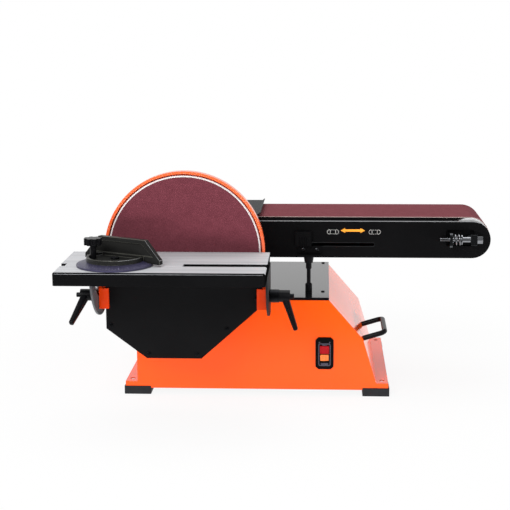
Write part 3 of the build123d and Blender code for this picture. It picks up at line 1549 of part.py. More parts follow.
with BuildPart() as lock_studs:
    for side in (-1, 1):
        stud_end = hub_start(side) + lever_hub_length + stud_tip
        with BuildSketch(side_plane(spindle_x + side * bracket_inner)):
            with Locations((stud_y, stud_z)):
                Circle(lock_stud_r)
        extrude(amount=side * (stud_end - bracket_inner))
        with BuildSketch(side_plane(spindle_x + side * bracket_inner)):
            with Locations((pin_y, pin_z)):
                Circle(lock_stud_r)
        extrude(amount=side * (washer_from - bracket_inner))
        with BuildSketch(side_plane(spindle_x + side * washer_from)):
            with Locations((stud_y, stud_z)):
                Circle(washer_r)
        extrude(amount=side * (hub_start(side) - washer_gap - washer_from))
lock_studs.part.label = "lock_studs"
export_step(lock_studs.part, "parts/lock_studs.step")


def clamp_lever(side, turn):
    """A clamp lever on the left (-1) or right (1) stud, its arm leaning out and turned back from straight down."""
    start = spindle_x + side * hub_start(side)
    middle = Vector(start + side * lever_hub_length / 2, stud_y, stud_z)
    arm_drop = Vector(0, sin(radians(turn)), -cos(radians(turn)))
    arm_way = arm_drop * cos(radians(clamp_arm_lean)) + Vector(side, 0, 0) * sin(radians(clamp_arm_lean))
    root_plane = Plane(origin=middle, x_dir=(0, cos(radians(turn)), sin(radians(turn))), z_dir=arm_way)
    with BuildPart(mode=Mode.PRIVATE) as lever:
        with BuildSketch(root_plane):
            RectangleRounded(*clamp_arm_root, clamp_arm_corner)
        with BuildSketch(root_plane.offset(clamp_arm_length)):
            RectangleRounded(*clamp_arm_tip, clamp_arm_corner)
        loft()
        tip = lever.faces().sort_by(Axis(middle, arm_way))[-1]
        fillet(tip.edges(), radius=clamp_arm_corner)
        with BuildSketch(side_plane(start)):
            with Locations((stud_y, stud_z)):
                Circle(lever_hub_r)
        extrude(amount=side * lever_hub_length)
        with BuildSketch(side_plane(start)):
            with Locations((stud_y, stud_z)):
                Circle(lock_stud_r + running_fit)
        extrude(amount=side * lever_hub_length, mode=Mode.SUBTRACT)
    return lever.part


with BuildPart() as clamp_lever_left:
    add(clamp_lever(-1, left_clamp_angle))
clamp_lever_left.part.label = "clamp_lever_left"
export_step(clamp_lever_left.part, "parts/clamp_lever_left.step")

with BuildPart() as clamp_lever_right:
    add(clamp_lever(1, right_clamp_angle))
clamp_lever_right.part.label = "clamp_lever_right"
export_step(clamp_lever_right.part, "parts/clamp_lever_right.step")

# Mitre gauge: bar with pivot pin and lock post, head with fence, protractor plate and knob
bar_low = table_top_z - mitre_slot_depth + mitre_bar_proud
bar_left = mitre_x - mitre_bar_tail
pin_top = mitre_floor_top + mitre_pin_cap_height
knob_low = mitre_floor_top + turning_gap

with BuildPart() as mitre_bar:
    with Locations((bar_left, mitre_slot_y, bar_low)):
        Box(mitre_bar_length, mitre_bar_width, mitre_bar_top - bar_low,
            align=(Align.MIN, Align.CENTER, Align.MIN))
    with Locations((mitre_x, mitre_slot_y, mitre_bar_top)):
        Cylinder(mitre_pin_r, mitre_floor_top - mitre_bar_top,
                 align=(Align.CENTER, Align.CENTER, Align.MIN))
    with Locations((mitre_x, mitre_slot_y, mitre_floor_top)):
        Cylinder(mitre_pin_cap_r, mitre_pin_cap_height, align=(Align.CENTER, Align.CENTER, Align.MIN))
    with Locations((mitre_post_x, mitre_slot_y, mitre_bar_top)):
        Cylinder(mitre_post_r, knob_low + mitre_knob_stem_height - mitre_bar_top,
                 align=(Align.CENTER, Align.CENTER, Align.MIN))
mitre_bar.part.label = "mitre_bar"
export_step(mitre_bar.part, "parts/mitre_bar.step")

# In the head's plane, local x is the way the fence faces and local y runs along the fence
bar_plane = Plane(origin=(mitre_x, mitre_slot_y, mitre_bar_top), z_dir=(0, 0, 1))
head_plane = bar_plane.rotated((0, 0, mitre_angle))
fence_face = mitre_fence_offset + mitre_fence_thickness
post_slot_width = 2 * (mitre_post_r + mitre_post_clearance)
post_slot = arc_slot((0, 0), mitre_post_radius, 180 - mitre_angle, 2 * mitre_angle, post_slot_width)

scale_foot = head_plane.offset(mitre_plate_thickness)
scale_top = scale_foot.offset(mitre_scale_rise)

with BuildPart() as mitre_protractor:
    with BuildSketch(head_plane):
        Circle(mitre_plate_r)
        with Locations((fence_face, 0)):
            Rectangle(2 * mitre_plate_r, 2 * mitre_plate_r,
                      align=(Align.MIN, Align.CENTER), mode=Mode.SUBTRACT)
    extrude(amount=mitre_plate_thickness)
    with Locations(scale_foot):
        Cone(mitre_plate_r - mitre_scale_land, mitre_head_r, mitre_scale_rise,
             align=(Align.CENTER, Align.CENTER, Align.MIN))
    with BuildSketch(scale_foot):
        with Locations((mitre_fence_offset, 0)):
            Rectangle(2 * mitre_plate_r, 2 * mitre_plate_r, align=(Align.MIN, Align.CENTER))
    extrude(amount=mitre_scale_rise, mode=Mode.SUBTRACT)
    with BuildSketch(head_plane):
        Circle(mitre_pin_r + running_fit)
        add(post_slot)
    extrude(amount=mitre_plate_thickness + mitre_scale_rise, mode=Mode.SUBTRACT)
mitre_protractor.part.label = "mitre_protractor"
export_step(mitre_protractor.part, "parts/mitre_protractor.step")

fence_plane = Plane(
    origin=scale_foot.from_local_coords((mitre_fence_offset, 0, 0)),
    x_dir=head_plane.y_dir,
    z_dir=head_plane.x_dir,
)
recess_top_half = mitre_fence_top_half - mitre_fence_border
recess_foot_half = mitre_fence_foot_half - 2 * mitre_fence_border

with BuildPart() as mitre_head:
    with BuildSketch(scale_top):
        Circle(mitre_head_r)
        with Locations((mitre_fence_offset, 0)):
            Rectangle(2 * mitre_head_r, 2 * mitre_head_r,
                      align=(Align.MIN, Align.CENTER), mode=Mode.SUBTRACT)
    extrude(amount=mitre_head_rim_height - mitre_scale_rise)
    with BuildSketch(scale_foot.offset(mitre_head_floor)):
        Circle(mitre_head_r - mitre_head_rim)
    extrude(amount=mitre_head_rim_height, mode=Mode.SUBTRACT)
    with BuildSketch(fence_plane):
        with BuildLine():
            Polyline(
                (-mitre_fence_foot_half, 0),
                (mitre_fence_foot_half, 0),
                (mitre_fence_foot_half, mitre_head_floor),
                (mitre_fence_top_half, mitre_fence_height),
                (-mitre_fence_top_half, mitre_fence_height),
                (-mitre_fence_foot_half, mitre_head_floor),
                close=True,
            )
        make_face()
    extrude(amount=mitre_fence_thickness)
    with BuildSketch(fence_plane):
        with BuildLine():
            Polyline(
                (-recess_foot_half, mitre_head_rim_height),
                (recess_foot_half, mitre_head_rim_height),
                (recess_top_half, mitre_fence_height - mitre_fence_border),
                (-recess_top_half, mitre_fence_height - mitre_fence_border),
                close=True,
            )
        make_face()
    extrude(amount=mitre_fence_recess, mode=Mode.SUBTRACT)
    with BuildSketch(scale_foot):
        Circle(mitre_pin_r + running_fit)
        add(post_slot)
    extrude(amount=mitre_head_floor, mode=Mode.SUBTRACT)
mitre_head.part.label = "mitre_head"
export_step(mitre_head.part, "parts/mitre_head.step")

with BuildPart() as mitre_lock_knob:
    with Locations((mitre_post_x, mitre_slot_y, knob_low)):
        Cylinder(mitre_knob_stem_r, mitre_knob_stem_height, align=(Align.CENTER, Align.CENTER, Align.MIN))
    with Locations((mitre_post_x, mitre_slot_y, knob_low + mitre_knob_stem_height)):
        Cylinder(mitre_knob_r, mitre_knob_height, align=(Align.CENTER, Align.CENTER, Align.MIN))
        with PolarLocations(mitre_knob_r, mitre_knob_flutes):
            Cylinder(mitre_knob_flute_r, 2 * mitre_knob_height, mode=Mode.SUBTRACT)
    with Locations((mitre_post_x, mitre_slot_y, knob_low)):
        Cylinder(mitre_post_r + running_fit, mitre_knob_stem_height,
                 align=(Align.CENTER, Align.CENTER, Align.MIN), mode=Mode.SUBTRACT)
mitre_lock_knob.part.label = "mitre_lock_knob"
export_step(mitre_lock_knob.part, "parts/mitre_lock_knob.step")

print("idler axis x", round(idler_x, 2), "disc face y", disc_face, "belt near y", belt_near)
print("stud y, z", round(stud_y, 2), round(stud_z, 2), "mitre pivot", mitre_x, mitre_slot_y)
print("lever pin", lever_pin_x, lever_pin_y, "motor z", motor_z, "tracking screw y", round(screw_y, 2))
print("switch rocker y, z", rocker_y, round(rocker_z, 2), "key z", round(key_z, 2))
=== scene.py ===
# %% [markdown]
# # Belt and disc sander: from solids to a finished look
# The solids of the machine are already drawn and packed, in metres, with X along the belt arm,
# Y to the back and Z up. They could be modelled again here, but then the two models would drift
# apart, so this lesson keeps the solids as a fixed frame and only rounds, details and paints them.

# %% Load the solids
import json
import math

import bmesh
import bpy
from mathutils import Euler, Matrix, Vector

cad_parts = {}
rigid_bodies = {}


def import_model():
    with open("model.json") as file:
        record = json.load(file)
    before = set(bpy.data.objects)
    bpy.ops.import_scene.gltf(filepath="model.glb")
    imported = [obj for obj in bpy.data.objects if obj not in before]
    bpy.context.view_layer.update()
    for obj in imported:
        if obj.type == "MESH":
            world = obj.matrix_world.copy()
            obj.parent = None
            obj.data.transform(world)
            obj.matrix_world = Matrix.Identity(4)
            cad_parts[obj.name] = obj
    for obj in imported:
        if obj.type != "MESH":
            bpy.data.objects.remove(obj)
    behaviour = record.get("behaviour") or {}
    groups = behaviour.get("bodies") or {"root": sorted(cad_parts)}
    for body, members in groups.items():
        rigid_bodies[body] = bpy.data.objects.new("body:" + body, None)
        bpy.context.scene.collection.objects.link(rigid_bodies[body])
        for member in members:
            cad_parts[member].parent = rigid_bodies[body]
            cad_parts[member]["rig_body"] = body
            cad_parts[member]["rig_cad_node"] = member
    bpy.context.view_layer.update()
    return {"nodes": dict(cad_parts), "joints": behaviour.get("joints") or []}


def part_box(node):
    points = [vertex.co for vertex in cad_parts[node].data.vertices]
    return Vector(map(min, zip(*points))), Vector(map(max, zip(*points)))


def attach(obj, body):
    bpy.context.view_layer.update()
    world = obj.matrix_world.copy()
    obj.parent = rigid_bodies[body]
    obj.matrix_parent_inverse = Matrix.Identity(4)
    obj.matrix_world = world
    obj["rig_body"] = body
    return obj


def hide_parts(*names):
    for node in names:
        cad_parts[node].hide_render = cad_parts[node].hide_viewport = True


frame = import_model()
joint_place = {joint["name"]: Vector(joint.get("pos_m", (0, 0, 0))) for joint in frame["joints"]}

# %% [markdown]
# ## Working in millimetres
# The machine was drawn in millimetres and Blender counts in metres. A scale on every object would
# do, but patterns on Object coordinates would then stretch, so sizes are turned into metres here.

# %% Sizes
def mm(*values):
    """Millimetres to metres: one number for one value, else a Vector."""
    if len(values) == 1:
        return values[0] / 1000.0
    return Vector([value / 1000.0 for value in values])


print("10 mm is", mm(10), "m")

# %% [markdown]
# ## Selecting
# An operator acts on all that is selected, and the solids come in selected. A click picks what is
# meant in the window. Here small helpers do it: they keep the selection to one object and, in edit
# mode, to the faces or edges that pass a test of their place and direction.

# %% Selection
def only(piece):
    """Selects one object and makes it the active one."""
    bpy.ops.object.select_all(action="DESELECT")
    piece.select_set(True)
    bpy.context.view_layer.objects.active = piece
    return piece


def pick_faces(piece, test):
    """In edit mode, selects just the faces whose centre, normal and area pass a test."""
    bpy.ops.mesh.select_mode(type="FACE")
    bpy.ops.mesh.select_all(action="DESELECT")
    mesh = bmesh.from_edit_mesh(piece.data)
    for face in mesh.faces:
        face.select_set(bool(test(face.calc_center_median(), face.normal, face.calc_area())))
    bmesh.update_edit_mesh(piece.data)


def pick_edges(piece, test):
    """In edit mode, selects just the edges whose two ends pass a test."""
    bpy.ops.mesh.select_mode(type="EDGE")
    bpy.ops.mesh.select_all(action="DESELECT")
    mesh = bmesh.from_edit_mesh(piece.data)
    for edge in mesh.edges:
        edge.select_set(bool(test(edge.verts[0].co, edge.verts[1].co)))
    bmesh.update_edit_mesh(piece.data)


bpy.ops.object.select_all(action="DESELECT")
print("selected now:", len(bpy.context.selected_objects))

# %% [markdown]
# ## Working with pieces
# Every new piece starts as a primitive, is shaped in edit mode or by modifiers, and may be cut by
# another. Its place goes into its mesh at once, so that the object itself sits at the origin, as
# the solids do. Edges are rounded by a bevel that only acts where the surface turns sharply.

# %% Starting, shaping and cutting a piece
smooth_angle = math.radians(50.0)


def new_piece(name, add, **size):
    """Adds one primitive with nothing else selected, puts its place into its mesh and names it."""
    bpy.ops.object.select_all(action="DESELECT")
    add(**size)
    bpy.ops.object.transform_apply(location=True, rotation=True, scale=True)
    piece = bpy.context.active_object
    piece.name = name
    return piece


def modify(piece, kind, **settings):
    """Adds one modifier to a piece, sets it and applies it."""
    only(piece)
    modifier = piece.modifiers.new(kind.lower(), kind)
    for setting, value in settings.items():
        setattr(modifier, setting, value)
    bpy.ops.object.modifier_apply(modifier=modifier.name)
    return piece


def cut(piece, cutter):
    """Takes one shape out of another and throws the cutter away."""
    modify(piece, "BOOLEAN", operation="DIFFERENCE", object=cutter, solver="EXACT")
    bpy.data.objects.remove(cutter)
    return piece


def soften(piece, radius_mm, turn=34.0, band=-1):
    """Rounds the edges that turn sharply, in the material of the band if one is given, and shades."""
    modify(piece, "BEVEL", width=mm(radius_mm), segments=2, limit_method="ANGLE",
           angle_limit=math.radians(turn), material=band)
    bpy.ops.object.shade_smooth_by_angle(angle=smooth_angle)
    return piece


print("shaded smooth below", round(math.degrees(smooth_angle)), "degrees")

# %% [markdown]
# A piece that repeats is modelled once and copied, each copy with its own mesh, and the copies are joined.
# At the end a piece gets its material, and is told which body of the machine it moves with. Some of its
# faces may then take one more material.

# %% Joining, copying and dressing pieces
def join(name, pieces):
    """Joins pieces into one, with their places in its mesh."""
    bpy.ops.object.select_all(action="DESELECT")
    for piece in pieces:
        piece.select_set(True)
    bpy.context.view_layer.objects.active = pieces[0]
    bpy.ops.object.join()
    joined = bpy.context.active_object
    joined.name = name
    bpy.ops.object.transform_apply(location=True, rotation=True, scale=True)
    return joined


def copies(name, model, places):
    """Copies a model to each place, a point and a turn, joins the copies and removes the model."""
    made = []
    for point, turn in places:
        only(model)
        bpy.ops.object.duplicate()
        copy = bpy.context.active_object
        copy.location = point
        copy.rotation_euler = turn
        made.append(copy)
    bpy.data.objects.remove(model)
    return join(name, made)


def dress(piece, body, material):
    """Gives a piece its material and the body that it moves with."""
    piece.data.materials.clear()
    piece.data.materials.append(material)
    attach(piece, body)
    return piece


def paint_faces(piece, material, test):
    """Gives one more material to the faces whose centre and normal pass a test."""
    piece.data.materials.append(material)
    index = len(piece.data.materials) - 1
    for face in piece.data.polygons:
        if test(face.center, face.normal):
            face.material_index = index


# %% [markdown]
# Some nodes hold several equal solids, such as five screws. Their places could be typed in again,
# but reading them from the node keeps the two models together.

# %% Boxes of the separate solids in a node
weld_gap = mm(0.002)


def solid_boxes(name):
    """The lowest and highest corner of each separate solid of a node, from left to right."""
    mesh = bmesh.new()
    mesh.from_mesh(frame["nodes"][name].data)
    bmesh.ops.remove_doubles(mesh, verts=mesh.verts, dist=weld_gap)
    boxes = []
    waiting = set(mesh.verts)
    while waiting:
        group = [waiting.pop()]
        for vert in group:
            for edge in vert.link_edges:
                other = edge.other_vert(vert)
                if other in waiting:
                    waiting.remove(other)
                    group.append(other)
        low = Vector([min(vert.co[axis] for vert in group) for axis in range(3)])
        high = Vector([max(vert.co[axis] for vert in group) for axis in range(3)])
        boxes.append((low, high))
    mesh.free()
    return sorted(boxes, key=lambda box: box[0].x)


print("screws on the disc cover:", len(solid_boxes("cover_screws")))

# %% [markdown]
# ## The camera
# The picture was taken from nearly straight in front, 11 degrees above the bench and 3 degrees to
# the right. The place and lens come from matching known corners of the machine to their pixels.
# A camera aimed by eye would come close, but the edges would never line up.

# %% Camera
camera_down, camera_turn, camera_roll = 10.89, 3.18, -0.31
camera_data = bpy.data.cameras.new("studio_camera")
camera_data.lens = 89.7
camera_data.sensor_width = 36.0
camera_data.clip_end = 50.0
camera = bpy.data.objects.new("studio_camera", camera_data)
bpy.context.scene.collection.objects.link(camera)
look = Euler((math.radians(90.0 - camera_down), 0.0, math.radians(camera_turn))).to_matrix()
look = look @ Matrix.Rotation(math.radians(camera_roll), 3, "Z")
camera.location = mm(120.8, -2355.8, 678.6)
camera.rotation_euler = look.to_euler()
bpy.context.scene.camera = camera
bpy.context.scene.view_settings.view_transform = "Standard"
print("camera at", tuple(round(v, 3) for v in camera.location))

# %% [markdown]
# ## Colours and nodes
# Paint charts and photographs give colours as sRGB hex values, while shaders work in linear light,
# so one function turns the first into the second. One more adds a node, sets its values and links
# its inputs, and another feeds the shader, so that a material below reads as a short list.

# %% Helpers for materials
def paint(code):
    """An sRGB hex colour as linear RGBA."""
    channels = [int(code[i:i + 2], 16) / 255.0 for i in (1, 3, 5)]
    linear = [c / 12.92 if c <= 0.04045 else ((c + 0.055) / 1.055) ** 2.4 for c in channels]
    return (*linear, 1.0)


def add_node(owner, kind, values=None, links=None, **settings):
    """Adds one node to a material or world, with settings, input values and links from other sockets."""
    node = owner.node_tree.nodes.new(kind)
    for name, value in settings.items():
        setattr(node, name, value)
    for socket, value in (values or {}).items():
        node.inputs[socket].default_value = value
    for socket, source in (links or {}).items():
        owner.node_tree.links.new(source, node.inputs[socket])
    return node


def new_material(name, **values):
    """A material with one Principled shader whose constant values are set on its own sockets."""
    material = bpy.data.materials.new(name)
    material.use_nodes = True
    shader = material.node_tree.nodes["Principled BSDF"]
    for socket, value in values.items():
        shader.inputs[socket.replace("_", " ")].default_value = value
    return material, shader


def feed(material, shader, **sources):
    """Links the outputs of nodes to the inputs of a material's shader."""
    for socket, source in sources.items():
        material.node_tree.links.new(source, shader.inputs[socket.replace("_", " ")])


def per_metre(size_mm):
    """The texture scale that gives features of about this size."""
    return 1000.0 / size_mm


print("mid grey is", round(paint("#808080")[0], 3), "in linear light")

# %% [markdown]
# ## Studio
# Product pictures like this one are taken in front of a white sweep, in a room that is darker behind
# the camera. That darker side is what keeps black and orange faces deep where they look at the
# camera, while faces that look up or back shine white. So the world is white to the camera, turns
# from white to grey in reflections, and lights the machine at a plain level.

# %% World light
room_level, room_dark, room_white = 0.42, 0.3, 1.0
world = bpy.data.worlds.new("white_room")
bpy.context.scene.world = world
world.use_nodes = True
background = world.node_tree.nodes["Background"]
background.inputs["Color"].default_value = paint("#FFFFFF")
room_rays = add_node(world, "ShaderNodeLightPath").outputs
room_way = add_node(world, "ShaderNodeTexCoord")
room_axes = add_node(world, "ShaderNodeSeparateXYZ", links={0: room_way.outputs["Generated"]})
room_back = add_node(
    world, "ShaderNodeMapRange",
    {"From Min": -0.5, "From Max": 0.2, "To Min": room_dark, "To Max": room_white},
    {"Value": room_axes.outputs["Y"]}, interpolation_type="SMOOTHSTEP")
room_mirrored = add_node(
    world, "ShaderNodeMath", links={0: room_rays["Is Glossy Ray"], 1: room_rays["Is Transmission Ray"]},
    operation="MAXIMUM")
room_lit = add_node(world, "ShaderNodeMix", {2: room_level},
                    {0: room_mirrored.outputs[0], 3: room_back.outputs["Result"]})
room_shown = add_node(world, "ShaderNodeMix", {3: room_white},
                      {0: room_rays["Is Camera Ray"], 2: room_lit.outputs[0]})
world.node_tree.links.new(room_shown.outputs[0], background.inputs["Strength"])
print("room light", room_level)

# %% [markdown]
# Four soft lamps stand in the room. The key lamp is high in front on the left, a large one hangs
# overhead, and two flat ones lie low in front and on the right, where pale cards would throw light
# back under a real machine. A glossy face would show those two as hard white bars, so they are kept
# out of reflections.

# %% Lamps
def soft_lamp(name, place, aim, width, height, watts):
    """A rectangular lamp, placed and aimed in millimetres."""
    data = bpy.data.lights.new(name, "AREA")
    data.shape = "RECTANGLE"
    data.size = mm(width)
    data.size_y = mm(height)
    data.energy = watts
    lamp = bpy.data.objects.new(name, data)
    bpy.context.scene.collection.objects.link(lamp)
    lamp.location = mm(*place)
    lamp.rotation_euler = (mm(*aim) - mm(*place)).to_track_quat("-Z", "Y").to_euler()
    return lamp


soft_lamp("key_lamp", (-900, -2100, 1500), (0, -100, 180), width=1400, height=1000, watts=33.0)
soft_lamp("top_lamp", (-120, 100, 2100), (-60, -100, 200), width=1800, height=1400, watts=16.0)
right_lamp = soft_lamp("right_lamp", (950, -350, 40), (210, -60, 50), width=500, height=70, watts=3.6)
low_lamp = soft_lamp("low_lamp", (0, -1500, 120), (0, -160, 60), width=1400, height=160, watts=10.0)
for lamp in (right_lamp, low_lamp):
    lamp.visible_glossy = False

# %% [markdown]
# The floor is a pale sheet under the machine. A plain white plane would do, but its edge would show.
# So what the camera sees of it is mostly plain white light, with a share of the real shading close
# to the machine, which keeps a faint shadow there and lets the sheet run out into the white room.

# %% Floor as the camera sees it
white_near, white_far = 0.9, 1.0
floor = new_piece("studio_floor", bpy.ops.mesh.primitive_plane_add, size=14.0)
bpy.ops.object.mode_set(mode="EDIT")
bpy.ops.mesh.subdivide(number_cuts=3)
bpy.ops.object.mode_set(mode="OBJECT")
floor_sheet, floor_shader = new_material(
    "pale_studio_sheet", Base_Color=paint("#F2F2F2"), Roughness=0.9, Specular_IOR_Level=0.0)
floor_rays = add_node(floor_sheet, "ShaderNodeLightPath").outputs
floor_place = add_node(floor_sheet, "ShaderNodeTexCoord").outputs["Object"]
floor_distance = add_node(floor_sheet, "ShaderNodeVectorMath", links={0: floor_place}, operation="LENGTH")
floor_white_share = add_node(
    floor_sheet, "ShaderNodeMapRange",
    {"From Min": 0.3, "From Max": 0.8, "To Min": white_near, "To Max": white_far},
    {"Value": floor_distance.outputs["Value"]}, interpolation_type="SMOOTHSTEP")
floor_seen = add_node(
    floor_sheet, "ShaderNodeMath",
    links={0: floor_rays["Is Camera Ray"], 1: floor_white_share.outputs["Result"]}, operation="MULTIPLY")
print("floor:", len(floor.data.polygons), "faces")

# %% [markdown]
# Reflections see the floor too. It could be the same white for them, but then every low, polished
# face would glow. So it is dim in front, where the room is dark, and white behind, and only light
# that bounces softly sees the sheet as it really is.

# %% Floor as reflections see it
front_level, back_level, camera_level = 0.04, 1.0, 1.0
floor_mirrored = add_node(
    floor_sheet, "ShaderNodeMath",
    links={0: floor_rays["Is Glossy Ray"], 1: floor_rays["Is Transmission Ray"]}, operation="MAXIMUM")
floor_share = add_node(floor_sheet, "ShaderNodeMath",
                       links={0: floor_seen.outputs[0], 1: floor_mirrored.outputs[0]}, operation="MAXIMUM")
floor_axes = add_node(floor_sheet, "ShaderNodeSeparateXYZ", links={0: floor_place})
floor_back = add_node(
    floor_sheet, "ShaderNodeMapRange",
    {"From Min": -0.85, "From Max": -0.33, "To Min": front_level, "To Max": back_level},
    {"Value": floor_axes.outputs["Y"]}, interpolation_type="SMOOTHSTEP")
floor_level = add_node(floor_sheet, "ShaderNodeMix", {3: camera_level},
                       {0: floor_rays["Is Camera Ray"], 2: floor_back.outputs["Result"]})
floor_white = add_node(floor_sheet, "ShaderNodeEmission", {"Color": paint("#FFFFFF")},
                       {"Strength": floor_level.outputs[0]})
floor_mix = add_node(
    floor_sheet, "ShaderNodeMixShader",
    links={0: floor_share.outputs[0], 1: floor_shader.outputs[0], 2: floor_white.outputs[0]})
floor_sheet.node_tree.links.new(
    floor_mix.outputs[0], floor_sheet.node_tree.nodes["Material Output"].inputs["Surface"])
floor.data.materials.append(floor_sheet)
print("floor nodes:", len(floor_sheet.node_tree.nodes))

# %% [markdown]
# ## A surface of two close tones
# Paint, plastic and plated metal all vary a little: a cloudy change of tone over centimetres, and a
# fine grain that changes the gloss and stands up a little. One recipe covers them all, and each
# finish below is a call with its own tones, sizes in millimetres, range of roughness, and the
# strength and height of its relief.

# %% The recipe
def surface(name, tones, cloud_mm, grain_mm, gloss, relief, grain_kind="ShaderNodeTexNoise", **sockets):
    """A finish between two tones, with a cloud, a grain, a range of roughness and a relief."""
    material, shader = new_material(name, **sockets)
    place = add_node(material, "ShaderNodeTexCoord").outputs["Object"]
    cloud = add_node(material, "ShaderNodeTexNoise", {"Scale": per_metre(cloud_mm), "Detail": 3.0},
                     {"Vector": place})
    tone = add_node(material, "ShaderNodeMix", {6: paint(tones[0]), 7: paint(tones[1])},
                    {0: cloud.outputs["Fac"]}, data_type="RGBA")
    grain = add_node(material, grain_kind, {"Scale": per_metre(grain_mm)}, {"Vector": place})
    shine = add_node(material, "ShaderNodeMapRange", {"To Min": gloss[0], "To Max": gloss[1]},
                     {"Value": grain.outputs[0]})
    bump = add_node(material, "ShaderNodeBump", {"Strength": relief[0], "Distance": mm(relief[1])},
                    {"Height": grain.outputs[0]})
    feed(material, shader, Base_Color=tone.outputs[2], Roughness=shine.outputs["Result"],
         Normal=bump.outputs["Normal"])
    return material


print("a cloud of 90 mm has a scale of", round(per_metre(90), 1))

# %% [markdown]
# ## Orange paint
# The base, the disc housing and the table brackets are sprayed with orange powder and baked. One orange
# coat serves the sheet, and two more calls change it: on the spun guard the coat is glossier, with a paler
# tone that is a painted reflection of the white room, and on the brackets it is deeper and duller, a
# painted shade for the shadow under the table. The orange peel is about 1.5 mm wide and is drawn at 4 mm so
# that it shows.

# %% Orange paint
# On sheet: an even, saturated colour, and a gloss that turns pale at a flat angle.
orange_coat = surface(
    "orange_powder_coat", ("#FF5200", "#FF5802"), cloud_mm=90, grain_mm=4,
    gloss=(0.12, 0.18), relief=(0.03, 0.15), Specular_IOR_Level=0.45)
# On the guard: a wet gloss, and a paler tone that is a painted reflection of the white room.
guard_orange_painted_reflection = surface(
    "orange_coat_on_guard_painted_reflection", ("#F06030", "#F46A3C"), cloud_mm=90, grain_mm=4,
    gloss=(0.12, 0.18), relief=(0.03, 0.15), Specular_IOR_Level=0.85)
# On the brackets: deeper and duller, a painted shade for the shadow under the table.
orange_painted_shade = surface(
    "orange_coat_painted_shade", ("#D63600", "#E03C02"), cloud_mm=60, grain_mm=4,
    gloss=(0.2, 0.28), relief=(0.06, 0.15), Specular_IOR_Level=0.2)
print("orange:", orange_coat.name, guard_orange_painted_reflection.name, orange_painted_shade.name)

# %% [markdown]
# ## Black paint
# The covers are satin black with a fine leather grain, about 1 mm wide and drawn at 2.5 mm. One black for
# all would run together into a single dark shape. The lower cover is a shade lighter; some walls and edges
# have no sheen, and the same matt black is a painted shade line along the table's front; and the top plate
# is a smooth enamel, which mirrors the white room at a low angle and so looks grey there.

# %% Black paint
# Satin paint: near black, with a wide and faint sheen.
black_satin = surface(
    "black_satin_paint", ("#0B0B0C", "#101011"), cloud_mm=70, grain_mm=2.5,
    gloss=(0.36, 0.48), relief=(0.1, 0.2), Specular_IOR_Level=0.025)
# The lower cover: a shade lighter.
cover_black = surface(
    "black_cover_paint", ("#111112", "#171718"), cloud_mm=70, grain_mm=2.5,
    gloss=(0.4, 0.52), relief=(0.1, 0.2), Specular_IOR_Level=0.035)
# Matt paint: black from every side, and also a painted shade line along the table's front edge.
matte_black_and_shade = surface(
    "matte_black_paint_and_shade", ("#0A0A0B", "#0F0F10"), cloud_mm=70, grain_mm=2.5,
    gloss=(0.7, 0.85), relief=(0.1, 0.2), Specular_IOR_Level=0.0)
# Smooth enamel: black from above, and a mirror at a low angle.
black_gloss = surface(
    "black_smooth_enamel", ("#111214", "#17181A"), cloud_mm=60, grain_mm=3,
    gloss=(0.13, 0.18), relief=(0.02, 0.1), Specular_IOR_Level=0.5)
print("black:", black_satin.name, cover_black.name, matte_black_and_shade.name, black_gloss.name)

# %% [markdown]
# ## Enamels
# Enamel flows out smoother than sprayed paint. It is a dull dark grey on the sheet over the drum, a
# light grey on the motor's floor, an olive black on the gauge head and a slate blue on its dial.
# A greyer and glossier tone on the rounded edges of the gauge and the levers is a painted highlight.

# %% Enamels
# Dark grey: dull, with hardly a highlight; also a painted shade on the right trunnion.
dark_enamel_and_shade = surface(
    "dark_grey_enamel_and_shade", ("#1B1C1E", "#222325"), cloud_mm=45, grain_mm=2,
    gloss=(0.5, 0.62), relief=(0.06, 0.15), Specular_IOR_Level=0.15)
# Light grey: pale, with a soft sheen; also a painted highlight on the arm cover's top edge and the fence's
# slanted end.
light_enamel_and_highlight = surface(
    "light_grey_enamel_and_highlight", ("#7E7F81", "#8B8C8E"), cloud_mm=45, grain_mm=2,
    gloss=(0.36, 0.5), relief=(0.06, 0.15), Specular_IOR_Level=0.35)
# Olive black: a warm black.
olive_enamel = surface(
    "olive_black_enamel", ("#1B1B1A", "#242423"), cloud_mm=35, grain_mm=2,
    gloss=(0.34, 0.46), relief=(0.1, 0.2), Specular_IOR_Level=0.1)
# Edge highlight: greyer and glossier, a painted highlight, so that an edge shows as a thin line.
edge_highlight_enamel = surface(
    "enamel_painted_highlight_edge", ("#3C3C35", "#50504A"), cloud_mm=20, grain_mm=2,
    gloss=(0.24, 0.34), relief=(0.05, 0.1), Specular_IOR_Level=0.5)
# Slate: a dark, cold blue.
slate_coat = surface(
    "slate_blue_coat", ("#302D44", "#3C3954"), cloud_mm=25, grain_mm=2,
    gloss=(0.34, 0.46), relief=(0.06, 0.1), Specular_IOR_Level=0.4)
print("enamels:", dark_enamel_and_shade.name, light_enamel_and_highlight.name, olive_enamel.name, edge_highlight_enamel.name, slate_coat.name)

# %% [markdown]
# ## Aluminium
# The drum and the pulleys are turned on a lathe, the roller and the disc plate are blasted after
# that, and the castings keep the sandy skin of the mould. A single metal would be simpler, but how a
# surface was made decides how it shines, so each has its own tone and grain.

# %% Aluminium
# Turned: bright, with fine marks of the tool.
turned_aluminium = surface(
    "turned_aluminium", ("#C4C5C8", "#E6E7E8"), cloud_mm=8, grain_mm=1.5,
    gloss=(0.22, 0.34), relief=(0.12, 0.05), Metallic=1.0)
# Blasted: pale and even, and too scattered to mirror much, so it is only partly metallic.
satin_aluminium = surface(
    "satin_aluminium", ("#DADBDD", "#F0F1F2"), cloud_mm=8, grain_mm=1.5,
    gloss=(0.34, 0.46), relief=(0.08, 0.05), Metallic=0.3)
